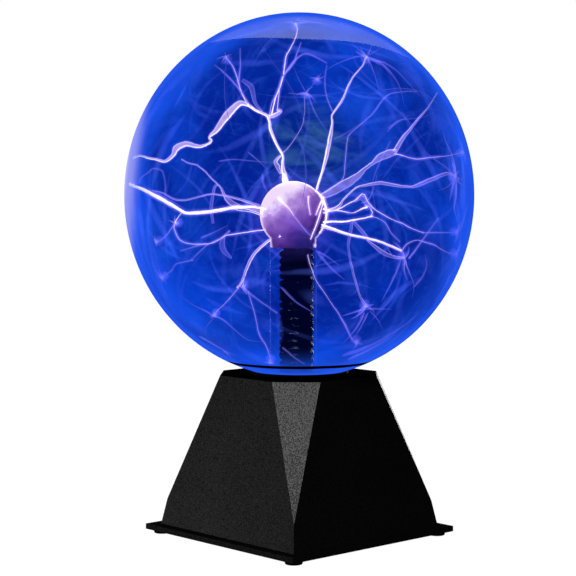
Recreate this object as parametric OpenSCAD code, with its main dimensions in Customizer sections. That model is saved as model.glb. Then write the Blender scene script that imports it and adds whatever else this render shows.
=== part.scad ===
// Plasma ball: a sealed glass globe on a hollow pyramid base.
// Z is up. The origin is on the table, under the globe's centre. The rear face is the +Y one.

/* [Globe] */
// Width of the glass globe
globe_d = 190; // [180:1:196]
// Height of the blown globe over its width
globe_rise = 1.042; // [1.02:0.001:1.05]
// Thickness of the globe's glass
globe_glass = 1.6; // [1.2:0.1:2]
// Depth by which the globe's round form dips below the deck
globe_sink = 2; // [1:0.1:3]
// Outer width of the neck under the globe
neck_d = 44; // [42:1:46]
// How far the neck hangs below the deck
neck_drop = 17; // [14:1:18]

/* [Base] */
// Side of the square bottom plate
plate_side = 120; // [116:1:126]
// Thickness of the bottom plate
plate_t = 3; // [2.6:0.1:4]
// Side of the housing where it meets the plate
shell_foot = 108; // [106:1:110]
// Side of the housing at the deck, before its corners are cut
shell_top = 78; // [76:1:82]
// Height of the housing
shell_h = 84; // [82:1:90]
// How far each corner cut runs along the deck's sides
corner_cut = 18; // [14:1:20]
// Height above the plate where each corner cut starts
corner_start = 14; // [10:1:18]
// Wall thickness of the housing
wall = 2.4; // [2:0.1:2.8]
// Height of the rubber feet
foot_h = 2; // [1.5:0.1:3]

/* [Electrode] */
// Width of the glass bulb at the top of the stem
bulb_d = 37; // [34:1:40]
// Height of the bulb's centre above the table
bulb_z = 176; // [168:1:180]
// Outer width of the glass stem
stem_d = 25.6; // [24:0.2:26]
// Thickness of the stem's glass
stem_glass = 1.2; // [1:0.1:1.4]
// Outer width of the contact spring
spring_d = 19; // [16:0.5:19]
// Thickness of the spring's wire
spring_wire = 3.5; // [2.6:0.1:3.6]
// Pitch of the spring's turns
spring_pitch = 4; // [3.6:0.1:5]

/* [Power] */
// Radius of the power inlet's mouth
inlet_r = 3.2; // [3:0.1:3.4]
// Radius of the power inlet's centre pin
inlet_pin_r = 1; // [0.9:0.05:1.1]
// Tilt of the rocker either side of its middle position, in degrees
rocker_tilt = 10; // [6:1:12]

/* [Hidden] */
$fn = 96;
eps = 0.01;
slip = 0.05;     // clearance of one piece inside another
loose = 0.2;     // clearance of a piece in a cut-out

// Levels, from the table up
plate_z = foot_h;
shell_z = plate_z + plate_t;
deck_z = shell_z + shell_h;
deck_t = 3;

// The housing's slopes, as inset per unit of height
face_slope = (shell_foot - shell_top) / 2 / shell_h;
face_tilt = atan(face_slope);
wall_x = wall / cos(face_tilt);
cut_top = (shell_top - corner_cut) / sqrt(2);
cut_start = sqrt(2) * (shell_foot / 2 - face_slope * corner_start);
cut_slope = (cut_start - cut_top) / (shell_h - corner_start);
cut_foot = cut_start + cut_slope * corner_start;
cut_wall = wall * sqrt(1 + pow(cut_slope, 2));

// The globe is an ellipsoid that runs into a straight neck just above the deck
globe_r = globe_d / 2;
globe_h = globe_r * globe_rise;
neck_r = neck_d / 2;
globe_z = deck_z + globe_h - globe_sink;
neck_z = deck_z - neck_drop;
deck_hole_r = neck_r + 1.5;
gasket_in = deck_hole_r + 0.5;
gasket_out = gasket_in + 3;

// Stem: the glassblower's joint leaves it a little off the globe's axis
stem_at = [-2.2, -2.35];
spring_at = stem_at + [1.25, 1.3];
stem_r = stem_d / 2;
stem_bore = stem_r - stem_glass;
stem_z = 62;
lining_t = 0.5;
lining_z = bulb_z - 17.8;
lining_bore = stem_bore - slip - lining_t;
stopper_h = 8;
cup_z = stem_z + stopper_h + 2;
cup_t = 2;
spring_z0 = cup_z + cup_t;
spring_z1 = lining_z - 0.2;
wool_r = spring_d / 2 - spring_wire - 0.3;

// Fasteners
boss_at = 44;
boss_r = 4;
boss_h = 22;
foot_at = 53.5;
foot_r = 5;
screw_r = 1.5;
head_r = 3;
head_h = 1.6;

// Circuit board
board = [76, 56, 1.6];
board_at = [0, -4];
standoff_h = 6;
board_z = shell_z + standoff_h;
top_z = board_z + board.z;
standoff_at = [33, 22];

// Transformer: two legs along X joined by a yoke at each end
core_side = 8;
core_x = -17;
core_reach = 15;
core_z = top_z + 15;
secondary_y = -12;
primary_y = 10;
sink_y = -12;
tab_screw_z = top_z + 19;
bobbin_bore = 5.8;
section_n = 5;
section_pitch = 4;

// Parts on the rear wall: their middle, as [x, z] on the outer face
switch_at = [15, 36];
jack_at = [-19, 30];
mic_at = [-2, 60];

// Rocker, in its own frame: Z out of the wall, X along the hinge
rocker_pivot = -1.5;
rocker_size = [9.6, 8.7];
trunnion_r = 1.5;
switch_body = [13, 20.4, 14];
switch_bezel = [16, 23.4, 2];

// Power inlet, in its own frame: Z out of the wall
jack_flange = 1.5;
inlet_depth = 10;
mouth_depth = 3;
inlet_pin = 6.5;
pin_root_r = 0.8;
shank_r = 5.4;
terminal_r = 0.5;
terminal_at = 2.5;

// Routes of the leads inside the base, from the part they leave to the part they reach
hv_route = [[-9, -12, 39.7], [-9, -12, 42.5], [-8, -10.5, 47], [-5, -6.5, 53], [-2.2, -2.35, 58],
    [-2.2, -2.35, 64], [-2.2, -2.35, cup_z]];
jack_routes = [
    [[-21.5, 31.6, 26.9], [-21.5, 29, 26.2], [-23, 25, 23.6], [-24, 21.6, 21.2], [-24, 20.6, 19.6]],
    [[-16.5, 31.6, 26.9], [-16.6, 29, 26], [-18.6, 25, 23.4], [-20.4, 21.6, 21.2], [-20.6, 20.6, 19.6]]];
switch_routes = [
    [[15, 28.4, 38.2], [15, 26.5, 37], [11, 23, 30], [8, 21, 24], [7.7, 20.6, 19.6]],
    [[15, 29.4, 32.2], [15, 27.4, 31], [13.4, 24, 26.6], [11.3, 21.2, 22], [11.3, 20.6, 19.6]]];
mic_routes = [
    [[-3.3, 32.4, 58], [-3.3, 30, 57.4], [-5, 26.6, 50], [-8, 24, 36], [-9, 21.4, 24], [-9, 20.6, 19.6]],
    [[-0.7, 32.4, 58], [-0.7, 30, 57.2], [-1.8, 26.8, 50], [-4, 24.4, 36],
     [-5.4, 21.6, 24], [-5.4, 20.6, 19.6]]];

function unit(v) = v / norm(v);
function shell_y(z) = shell_foot / 2 - face_slope * (z - shell_z);
// Height of the globe's outside at a distance r from its axis, and of its inside with inset t
function globe_floor(r, t = 0) = globe_z - (globe_h - t) * sqrt(1 - pow(r / (globe_r - t), 2));
// One half of an upright ellipse, from its lower end at radius r0 to its top
function ellipse(a, b, r0, n) = let (low = -acos(r0 / a))
    [for (i = [0 : n]) let (q = low + (90 - low) * i / n) [a * cos(q), globe_z + b * sin(q)]];

// Points of a smooth curve through p, with n steps between neighbours
function knot(p, i) = p[max(0, min(i, len(p) - 1))];
function smooth(p, n) = [for (i = [0 : len(p) - 2], k = [0 : n - 1 + (i == len(p) - 2 ? 1 : 0)])
    let (t = k / n, a = knot(p, i - 1), b = p[i], c = p[i + 1], d = knot(p, i + 2))
    (2 * b + (c - a) * t + (2 * a - 5 * b + 4 * c - d) * t * t + (3 * b - a - 3 * c + d) * t * t * t) / 2];
function heading(p, i) = unit(knot(p, i + 1) - knot(p, i - 1));
// A normal at each point, carried along the curve without twist
function normals(p, i, n) = let (t = heading(p, i), m = unit(n - (n * t) * t))
    i == len(p) - 1 ? [m] : concat([m], normals(p, i + 1, m));

// A round wire of radius r along the points p
module wire(p, r, sides) {
    first = abs(heading(p, 0).z) < 0.9 ? [0, 0, 1] : [1, 0, 0];
    n = normals(p, 0, first);
    rings = len(p);
    points = [for (i = [0 : rings - 1], k = [0 : sides - 1])
        let (a = 360 * k / sides) p[i] + r * (cos(a) * n[i] + sin(a) * cross(heading(p, i), n[i]))];
    skin = [for (i = [0 : rings - 2], k = [0 : sides - 1])
        let (a = i * sides + k, b = i * sides + (k + 1) % sides)
        each [[a, a + sides, b], [b, a + sides, b + sides]]];
    ends = [[for (k = [0 : sides - 1]) k], [for (k = [sides - 1 : -1 : 0]) (rings - 1) * sides + k]];
    polyhedron(points, concat(skin, ends));
}

module ring(outer, inner, h) {
    difference() {
        cylinder(r = outer, h = h);
        translate([0, 0, -eps]) cylinder(r = inner, h = h + 2 * eps);
    }
}

module box(size, at = [0, 0, 0]) {
    translate(at + [-size.x / 2, -size.y / 2, 0]) cube(size);
}

module corners(at) {
    for (x = [-1, 1], y = [-1, 1]) translate([x * at, y * at, 0]) children();
}

module along_x(at) {
    translate(at) rotate([0, 90, 0]) children();
}

// Puts a child on the rear face with its Z out of the wall
module on_rear(at) {
    translate([at.x, shell_y(at.y), at.y]) rotate([face_tilt - 90, 0, 0]) children();
}

// A prism with sloping sides, half as wide as low at z = 0 and as high at z = h, turned about Z
module wedge(low, high, h, turn) {
    length = 3 * shell_foot;
    rotate([0, 0, turn]) translate([0, length / 2, 0]) rotate([90, 0, 0])
        linear_extrude(length) polygon([[-low, 0], [low, 0], [high, h], [-high, h]]);
}

// The housing's solid form, taken in by side on its faces and by cut on its corner cuts
module pyramid(side, cut, h) {
    intersection() {
        wedge(shell_foot / 2 - side, shell_foot / 2 - side - face_slope * h, h, 0);
        wedge(shell_foot / 2 - side, shell_foot / 2 - side - face_slope * h, h, 90);
        wedge(cut_foot - cut, cut_foot - cut - cut_slope * h, h, 45);
        wedge(cut_foot - cut, cut_foot - cut - cut_slope * h, h, -45);
    }
}

// A rib from each boss out to its corner
module shell_ribs() {
    for (turn = [45 : 90 : 315]) rotate([0, 0, turn])
        translate([boss_at * sqrt(2), -1, shell_z + 4]) cube([20, 2, boss_h - 4]);
}

module base_shell() {
    mic_hole_r = 0.6;
    pilot_r = screw_r - 0.2;
    color([0.05, 0.048, 0.052]) difference() {
        union() {
            difference() {
                translate([0, 0, shell_z]) pyramid(0, 0, shell_h);
                translate([0, 0, shell_z - eps]) pyramid(wall_x, cut_wall, shell_h - deck_t + eps);
            }
            intersection() {
                translate([0, 0, shell_z]) pyramid(wall_x / 2, cut_wall / 2, shell_h - deck_t);
                union() {
                    corners(boss_at) translate([0, 0, shell_z]) cylinder(r = boss_r, h = boss_h);
                    shell_ribs();
                }
            }
        }
        translate([0, 0, deck_z - deck_t - 1]) cylinder(r = deck_hole_r, h = deck_t + 2);
        corners(boss_at) translate([0, 0, shell_z - 1]) cylinder(r = pilot_r, h = boss_h - 3);
        on_rear(switch_at) box([switch_body.x + loose, switch_body.y + loose, 20], [0, 0, -10]);
        on_rear(jack_at) translate([0, 0, -10]) cylinder(r = shank_r + loose, h = 20);
        on_rear(mic_at) for (i = [0 : 5]) rotate([0, 0, 60 * i])
            translate([2.4, 0, -10]) cylinder(r = mic_hole_r, h = 20, $fn = 24);
        on_rear(mic_at) translate([0, 0, -10]) cylinder(r = mic_hole_r, h = 20, $fn = 24);
    }
}

module base_plate() {
    lip = [60, 1.5, 2];
    lip_at = shell_foot / 2 - wall_x - 1.5;
    vent_n = 6;
    vent_pitch = 7;
    vent = [26, 2.4];
    color([0.06, 0.058, 0.062]) difference() {
        union() {
            box([plate_side, plate_side, plate_t], [0, 0, plate_z]);
            for (turn = [0 : 90 : 270]) rotate([0, 0, turn]) box(lip, [0, lip_at, shell_z - eps]);
            for (x = [-1, 1], y = [-1, 1])
                translate([board_at.x + x * standoff_at.x, board_at.y + y * standoff_at.y, shell_z - eps])
                    cylinder(r = 3.2, h = standoff_h + eps);
        }
        corners(boss_at) translate([0, 0, plate_z - 1]) {
            cylinder(r = screw_r + 0.15, h = plate_t + 2);
            cylinder(r = head_r + loose, h = 1 + head_h + loose);
        }
        for (x = [-1, 1], y = [-1, 1])
            translate([board_at.x + x * standoff_at.x, board_at.y + y * standoff_at.y, board_z - 5])
                cylinder(r = 1, h = 6, $fn = 48);
        for (i = [0 : vent_n - 1], x = [-16, 16])
            translate([x, (i - (vent_n - 1) / 2) * vent_pitch, plate_z - 1]) {
                box([vent.x - vent.y, vent.y, plate_t + 2]);
                for (side = [-1, 1]) translate([side * (vent.x - vent.y) / 2, 0, 0])
                    cylinder(d = vent.y, h = plate_t + 2, $fn = 48);
            }
    }
}

module rubber_foot(i) {
    turn = [-45, 45, 135, 225][i];
    color([0.03, 0.03, 0.03]) rotate([0, 0, turn]) translate([foot_at * sqrt(2), 0, 0])
        cylinder(r1 = foot_r - 0.6, r2 = foot_r, h = foot_h);
}

module plate_screws() {
    seat = plate_z + head_h + loose;
    color([0.2, 0.2, 0.21]) corners(boss_at) difference() {
        union() {
            translate([0, 0, seat - head_h]) cylinder(r = head_r, h = head_h);
            translate([0, 0, seat - eps]) cylinder(r = screw_r - 0.25, h = 13);
        }
        for (turn = [0, 90]) rotate([0, 0, turn]) box([3.2, 0.7, 1], [0, 0, seat - head_h - 0.2]);
    }
}

module globe() {
    steps = 60;
    outside = ellipse(globe_r, globe_h, neck_r, steps);
    inside = ellipse(globe_r - globe_glass, globe_h - globe_glass, neck_r - globe_glass, steps);
    outline = concat([[neck_r, neck_z]], outside,
        [for (i = [steps : -1 : 0]) inside[i]], [[neck_r - globe_glass, neck_z]]);
    color([0.55, 0.65, 0.95, 0.3]) rotate_extrude() polygon(outline);
}

module globe_gasket() {
    steps = 6;
    top = [for (i = [0 : steps]) let (r = gasket_out + (gasket_in - gasket_out) * i / steps)
        [r, globe_floor(r) - slip]];
    color([0.04, 0.04, 0.04]) rotate_extrude()
        polygon(concat([[gasket_in, deck_z], [gasket_out, deck_z]], top));
}

module neck_seal() {
    inner = neck_r + slip;
    under = deck_z - deck_t;
    color([0.75, 0.75, 0.74]) rotate_extrude() polygon([[inner, under - 5], [inner, deck_z],
        [deck_hole_r - slip, deck_z], [deck_hole_r - slip, under - slip], [deck_hole_r + 4, under - slip]]);
}

module electrode_tube() {
    pump_tip = [-12.6, 9.4];
    color([0.8, 0.85, 1, 0.3]) {
        difference() {
            union() {
                translate([stem_at.x, stem_at.y, bulb_z]) sphere(r = bulb_d / 2);
                translate([stem_at.x, stem_at.y, stem_z]) cylinder(r = stem_r, h = bulb_z - stem_z);
                translate([0, 0, neck_z]) cylinder(r = neck_r - globe_glass - slip, h = 2);
                translate([pump_tip.x, pump_tip.y, neck_z - 6])
                    cylinder(r1 = 0.6, r2 = 1.6, h = 6 + eps, $fn = 48);
            }
            translate([stem_at.x, stem_at.y, bulb_z]) sphere(r = bulb_d / 2 - stem_glass);
            translate([stem_at.x, stem_at.y, stem_z - 1]) cylinder(r = stem_bore, h = bulb_z - stem_z + 1);
        }
    }
}

module electrode_lining() {
    outer = bulb_d / 2 - stem_glass - slip;
    color([0.62, 0.5, 0.72]) translate([stem_at.x, stem_at.y, 0]) difference() {
        union() {
            translate([0, 0, bulb_z]) sphere(r = outer);
            translate([0, 0, lining_z]) cylinder(r = stem_bore - slip, h = bulb_z - lining_z);
        }
        translate([0, 0, bulb_z]) sphere(r = outer - lining_t);
        translate([0, 0, lining_z - 1]) cylinder(r = lining_bore, h = bulb_z - lining_z + 1);
    }
}

module contact_plunger() {
    color([0.35, 0.33, 0.32]) translate([stem_at.x, stem_at.y, spring_z1]) {
        cylinder(r = lining_bore - slip, h = 1.6);
        cylinder(r = 4, h = 6);
    }
}

module contact_spring() {
    turn_steps = 20;
    r = (spring_d - spring_wire) / 2;
    rise = spring_z1 - spring_z0 - spring_wire - 2 * slip;
    steps = round(turn_steps * rise / spring_pitch);
    path = [for (i = [0 : steps]) let (a = 360 * i / turn_steps)
        [r * cos(a), r * sin(a), spring_z0 + slip + spring_wire / 2 + rise * i / steps]];
    color([0.05, 0.05, 0.06]) translate([spring_at.x, spring_at.y, 0]) wire(path, spring_wire / 2, 8);
}

module steel_wool() {
    color([0.03, 0.03, 0.035]) translate([spring_at.x, spring_at.y, spring_z0 + slip])
        cylinder(r = wool_r, h = spring_z1 - spring_z0 - 2 * slip);
}

module spring_cup() {
    color([0.6, 0.58, 0.55]) translate([stem_at.x, stem_at.y, cup_z])
        cylinder(r = stem_bore - 0.4, h = cup_t);
}

module tube_stopper() {
    color([0.12, 0.12, 0.13]) translate([stem_at.x, stem_at.y, 0]) difference() {
        union() {
            translate([0, 0, stem_z]) cylinder(r = stem_bore - slip, h = stopper_h);
            translate([0, 0, stem_z - 2]) cylinder(r = stem_r + 1, h = 2);
        }
        translate([0, 0, stem_z - 3]) cylinder(r = 1.6, h = stopper_h + 4, $fn = 48);
    }
}

module circuit_board() {
    color([0.1, 0.3, 0.16]) difference() {
        box(board, [board_at.x, board_at.y, board_z]);
        for (x = [-1, 1], y = [-1, 1])
            translate([board_at.x + x * standoff_at.x, board_at.y + y * standoff_at.y, board_z - 1])
                cylinder(r = 1.2, h = board.z + 2, $fn = 48);
    }
}

module board_screws() {
    color([0.7, 0.7, 0.72]) for (x = [-1, 1], y = [-1, 1])
        translate([board_at.x + x * standoff_at.x, board_at.y + y * standoff_at.y, 0]) difference() {
            union() {
                translate([0, 0, top_z]) cylinder(r = 2.1, h = 1.4, $fn = 48);
                translate([0, 0, top_z - 5]) cylinder(r = 0.95, h = 5 + eps, $fn = 48);
            }
            for (turn = [0, 90]) rotate([0, 0, turn]) box([2.2, 0.5, 1], [0, 0, top_z + 0.8]);
        }
}

module transformer_core() {
    span = primary_y - secondary_y;
    color([0.17, 0.17, 0.18]) {
        for (y = [secondary_y, primary_y])
            box([2 * core_reach, core_side, core_side], [core_x, y, core_z - core_side / 2]);
        for (side = [-1, 1]) box([core_side, span + core_side, core_side],
            [core_x + side * core_reach, (primary_y + secondary_y) / 2, core_z - core_side / 2]);
    }
}

// A spool along X with n + 1 flanges, standing on the board on its two end flanges
module spool(y, tube_r, flange_r, pitch, n) {
    length = n * pitch + 1;
    end_x = core_x - length / 2;
    difference() {
        union() {
            along_x([end_x, y, core_z]) cylinder(r = tube_r, h = length);
            for (i = [0 : n]) along_x([end_x + i * pitch, y, core_z]) cylinder(r = flange_r, h = 1);
            for (i = [0, n]) translate([end_x + i * pitch, y - 5, top_z]) cube([1, 10, 9]);
        }
        along_x([end_x - 1, y, core_z]) cylinder(r = bobbin_bore, h = length + 2);
    }
}

module winding(y, inner, outer, pitch, n) {
    length = n * pitch + 1;
    for (i = [0 : n - 1]) along_x([core_x - length / 2 + i * pitch + 1 + slip, y, core_z])
        ring(outer, inner, pitch - 1 - 2 * slip);
}

module secondary_bobbin() {
    color([0.12, 0.12, 0.12]) spool(secondary_y, 7, 13.2, section_pitch, section_n);
}

module secondary_winding() {
    color([0.55, 0.3, 0.12]) winding(secondary_y, 7 + slip, 12, section_pitch, section_n);
}

module primary_bobbin() {
    color([0.12, 0.12, 0.12]) spool(primary_y, 6.8, 9.6, 18, 1);
}

module primary_winding() {
    color([0.72, 0.36, 0.16]) winding(primary_y, 6.8 + slip, 8.6, 18, 1);
}

module heat_sink() {
    fins = 5;
    fin = [9, 1.4, 26];
    fin_pitch = 5.1;
    back = [2.5, 22, 26];
    back_x = 25.25;
    fin_x = back_x + back.x / 2 + fin.x / 2 - 0.1;
    color([0.5, 0.51, 0.53]) difference() {
        union() {
            box(back, [back_x, sink_y, top_z]);
            for (i = [0 : fins - 1]) box(fin, [fin_x, sink_y + (i - (fins - 1) / 2) * fin_pitch, top_z]);
        }
        along_x([20, sink_y, tab_screw_z]) cylinder(r = 1.3, h = 10, $fn = 48);
    }
}

module power_transistor() {
    color([0.08, 0.08, 0.08]) difference() {
        union() {
            box([4.2, 10, 9], [21.85, sink_y, top_z + 4]);
            box([1.2, 10, 15.5], [23.35, sink_y, top_z + 6.5]);
            for (y = [-2.54, 0, 2.54]) box([0.6, 0.8, 4.2], [21.85, sink_y + y, top_z]);
        }
        along_x([20, sink_y, tab_screw_z]) cylinder(r = 1.6, h = 10, $fn = 48);
    }
}

module transistor_screw() {
    color([0.7, 0.7, 0.72]) along_x([22.75, sink_y, tab_screw_z]) {
        translate([0, 0, -1.6]) cylinder(r = 2.4, h = 1.6, $fn = 48);
        cylinder(r = 1.25, h = 4.4, $fn = 48);
    }
}

module capacitor(at, r, h) {
    translate([at.x, at.y, top_z]) difference() {
        cylinder(r = r, h = h);
        translate([0, 0, 1.4]) ring(r + 1, r - 0.4, 0.8);
        for (turn = [0, 90]) rotate([0, 0, turn]) box([r, 0.4, 1], [0, 0, h - 0.25]);
    }
}

module main_capacitor() {
    color([0.1, 0.12, 0.3]) capacitor([28, 9], 6.5, 25);
}

module small_capacitors() {
    color([0.1, 0.12, 0.3]) {
        capacitor([14, 12], 4, 12);
        capacitor([9, -26], 3.2, 11);
    }
}

module film_capacitor() {
    color([0.6, 0.42, 0.1]) box([12, 6, 10], [12, -2, top_z]);
}

module driver_chip() {
    color([0.08, 0.08, 0.09]) {
        difference() {
            box([9.6, 6.4, 3.3], [11, -13, top_z + 0.5]);
            translate([6.2, -13, top_z + 3]) cylinder(r = 0.8, h = 2, $fn = 48);
        }
        for (i = [0 : 3], side = [-1, 1])
            box([0.6, 0.5, 2.2], [11 + (i - 1.5) * 2.54, -13 + side * 3.45, top_z]);
    }
}

module resistors() {
    body = 6.4;
    span = 8.4;
    axis_z = top_z + 1.3;
    color([0.75, 0.62, 0.42]) for (i = [0 : 2]) translate([18, -21 - 3.2 * i, 0]) {
        along_x([-body / 2, 0, axis_z]) cylinder(r = 1.1, h = body, $fn = 48);
        along_x([-span / 2, 0, axis_z]) cylinder(r = 0.3, h = span, $fn = 24);
        for (side = [-1, 1]) translate([side * span / 2, 0, top_z]) cylinder(r = 0.3, h = 1.6, $fn = 24);
    }
}

module board_connectors() {
    color([0.88, 0.87, 0.82]) for (x = [-22.3, -7.2, 9.5]) difference() {
        box([7, 5.6, 7], [x, 20.6, top_z]);
        for (side = [-1, 1]) translate([x + side * 1.8, 20.6, top_z + 4]) cylinder(r = 0.8, h = 4, $fn = 32);
    }
}

module dc_jack_body() {
    back = 15;
    color([0.05, 0.05, 0.05]) on_rear(jack_at) difference() {
        union() {
            cylinder(r = 7.2, h = jack_flange);
            translate([0, 0, -back]) cylinder(r = shank_r, h = back + eps);
        }
        translate([0, 0, jack_flange - mouth_depth]) cylinder(r = inlet_r, h = mouth_depth + 1);
        translate([0, 0, jack_flange - inlet_depth]) cylinder(r = inlet_r - 0.2, h = inlet_depth);
        translate([0, 0, -back - 1]) cylinder(r = pin_root_r + slip, h = back + 1);
        for (side = [-1, 1]) translate([side * terminal_at, 0, -back - 1])
            cylinder(r = terminal_r + 0.1, h = 4, $fn = 32);
    }
}

module dc_jack_contact() {
    floor_z = jack_flange - inlet_depth;
    color([0.8, 0.7, 0.4]) on_rear(jack_at) {
        translate([0, 0, -14.9]) cylinder(r = pin_root_r, h = floor_z + 14.9 + eps);
        translate([0, 0, floor_z]) cylinder(r = inlet_pin_r, h = inlet_pin);
        for (side = [-1, 1])
            translate([side * terminal_at, 0, -17.6]) cylinder(r = terminal_r, h = 5, $fn = 32);
    }
}

module dc_jack_nut() {
    color([0.75, 0.75, 0.77]) on_rear(jack_at) translate([0, 0, -wall - 2.1]) difference() {
        cylinder(r = 8, h = 2, $fn = 6);
        translate([0, 0, -1]) cylinder(r = shank_r + slip, h = 4);
    }
}

module switch_housing() {
    mouth = [rocker_size.x + 2 * loose, 2 * rocker_size.y + 4 * loose];
    floor_z = -9;
    color([0.04, 0.04, 0.04]) on_rear(switch_at) difference() {
        union() {
            box(switch_bezel);
            box([switch_body.x, switch_body.y, switch_body.z + eps], [0, 0, -switch_body.z]);
        }
        box([mouth.x, mouth.y, 20], [0, 0, floor_z]);
        along_x([-switch_body.x / 2 - 1, 0, rocker_pivot])
            cylinder(r = trunnion_r + slip, h = switch_body.x + 2);
        for (y = [-4, 0, 4]) box([2.2, 1, 4], [0, y, -switch_body.z - 1]);
    }
}

// The rocker as it is cut, level, about its hinge
module rocker_form() {
    dip = 0.8;
    rim = 3.4;
    under = -3.6;
    intersection() {
        along_x([-rocker_size.x / 2, 0, 0]) cylinder(r = rocker_size.y, h = rocker_size.x);
        rotate([90, 0, 90]) translate([0, 0, -rocker_size.x / 2]) linear_extrude(rocker_size.x)
            polygon([[-9, rim + dip], [-7.6, rim + dip - 0.4], [0, rim - dip], [7.6, rim + dip - 0.4],
                [9, rim + dip], [9, under], [-9, under]]);
    }
    along_x([-switch_body.x / 2 + 0.3, 0, 0]) cylinder(r = trunnion_r, h = switch_body.x - 0.6);
}

// At rest the upper half is pressed in, which is the ON position
module rocker() {
    color([0.5, 0.02, 0.02]) on_rear(switch_at) translate([0, 0, rocker_pivot])
        rotate([rocker_tilt, 0, 0]) rocker_form();
}

module switch_terminals() {
    color([0.8, 0.7, 0.4]) on_rear(switch_at)
        for (y = [-4, 0, 4]) box([2, 0.8, 6.6], [0, y, -switch_body.z - 4]);
}

module microphone() {
    color([0.7, 0.7, 0.72]) on_rear(mic_at) translate([0, 0, -wall - 7.2]) {
        cylinder(r = 4.8, h = 6.2);
        for (side = [-1, 1]) translate([side * 1.3, 0, -1.6]) cylinder(r = 0.35, h = 1.6 + eps, $fn = 24);
    }
}

module microphone_boot() {
    color([0.05, 0.05, 0.05]) on_rear(mic_at) translate([0, 0, -wall - 6.8]) ring(6.2, 4.8 + slip, 6.75);
}

module lead(route, r) {
    wire(smooth(route, 6), r, 8);
}

module high_voltage_lead() {
    color([0.75, 0.08, 0.06]) lead(hv_route, 1.3);
}

module dc_leads() {
    for (i = [0, 1]) color([0.7, 0.05, 0.05]) lead(jack_routes[i], 0.7);
}

module switch_leads() {
    for (i = [0, 1]) color([0.1, 0.1, 0.1]) lead(switch_routes[i], 0.7);
}

module microphone_leads() {
    for (i = [0, 1]) color([0.85, 0.8, 0.1]) lead(mic_routes[i], 0.55);
}

base_shell();
base_plate();
for (i = [0 : 3]) rubber_foot(i);
plate_screws();
globe();
globe_gasket();
neck_seal();
electrode_tube();
electrode_lining();
contact_plunger();
contact_spring();
steel_wool();
spring_cup();
tube_stopper();
circuit_board();
board_screws();
transformer_core();
secondary_bobbin();
secondary_winding();
primary_bobbin();
primary_winding();
heat_sink();
power_transistor();
transistor_screw();
main_capacitor();
small_capacitors();
film_capacitor();
driver_chip();
resistors();
board_connectors();
dc_jack_body();
dc_jack_contact();
dc_jack_nut();
switch_housing();
rocker();
switch_terminals();
microphone();
microphone_boot();
high_voltage_lead();
dc_leads();
switch_leads();
microphone_leads();
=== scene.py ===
"""A plasma ball's looks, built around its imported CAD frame. Lengths are in metres."""

import math
import random
from collections import namedtuple

import bmesh
import bpy
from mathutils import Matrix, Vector


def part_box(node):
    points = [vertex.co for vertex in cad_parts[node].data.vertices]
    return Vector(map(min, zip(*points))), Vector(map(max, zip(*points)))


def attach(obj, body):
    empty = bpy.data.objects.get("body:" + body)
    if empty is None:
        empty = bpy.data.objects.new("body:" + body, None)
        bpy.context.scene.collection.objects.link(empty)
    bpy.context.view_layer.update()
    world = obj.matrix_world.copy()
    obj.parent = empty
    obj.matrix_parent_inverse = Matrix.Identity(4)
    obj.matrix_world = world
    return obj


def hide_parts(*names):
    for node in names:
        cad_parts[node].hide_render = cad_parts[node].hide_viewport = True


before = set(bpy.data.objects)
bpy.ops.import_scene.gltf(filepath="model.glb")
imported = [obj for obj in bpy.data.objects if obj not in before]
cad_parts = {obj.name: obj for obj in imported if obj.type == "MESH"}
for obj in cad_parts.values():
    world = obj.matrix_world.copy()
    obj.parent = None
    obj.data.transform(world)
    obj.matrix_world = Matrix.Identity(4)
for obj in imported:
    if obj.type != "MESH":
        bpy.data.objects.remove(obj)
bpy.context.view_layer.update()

MM = 0.001
UP = Vector((0, 0, 1))


# ---- camera and studio

VIEW_AZIMUTH = math.radians(47)      # the side that the near corner of the base faces
CAMERA_DISTANCE = 0.9553             # from the globe's axis
CAMERA_HEIGHT = 0.1979
CAMERA_PITCH = math.radians(3.72)
CAMERA_PAN = math.radians(0.363)
CAMERA_LENS = 109.4

TOWARDS_VIEWER = Vector((math.sin(VIEW_AZIMUTH), -math.cos(VIEW_AZIMUTH), 0))
VIEWER_RIGHT = Vector((math.cos(VIEW_AZIMUTH), math.sin(VIEW_AZIMUTH), 0))
EYE = TOWARDS_VIEWER * CAMERA_DISTANCE + UP * CAMERA_HEIGHT


def make_camera():
    data = bpy.data.cameras.new("camera")
    data.lens = CAMERA_LENS
    data.clip_start = 0.05
    data.clip_end = 30
    camera = bpy.data.objects.new("camera", data)
    camera.location = EYE
    camera.rotation_euler = (math.pi / 2 - CAMERA_PITCH, 0, VIEW_AZIMUTH + CAMERA_PAN)
    bpy.context.scene.collection.objects.link(camera)
    bpy.context.scene.camera = camera


def make_softbox(name, azimuth, elevation, distance, size, power, shape="RECTANGLE"):
    """A soft light that faces the object. Azimuth is counted from the viewer's side."""
    aim = Vector((0, 0, 0.12))
    turn = VIEW_AZIMUTH + math.radians(azimuth)
    rise = math.radians(elevation)
    away = Vector((math.sin(turn) * math.cos(rise), -math.cos(turn) * math.cos(rise), math.sin(rise)))
    data = bpy.data.lights.new(name, "AREA")
    data.shape = shape
    data.size, data.size_y = size
    data.energy = power
    light = bpy.data.objects.new(name, data)
    light.location = aim + away * distance
    light.rotation_euler = away.to_track_quat("Z", "Y").to_euler()
    bpy.context.scene.collection.objects.link(light)


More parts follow.
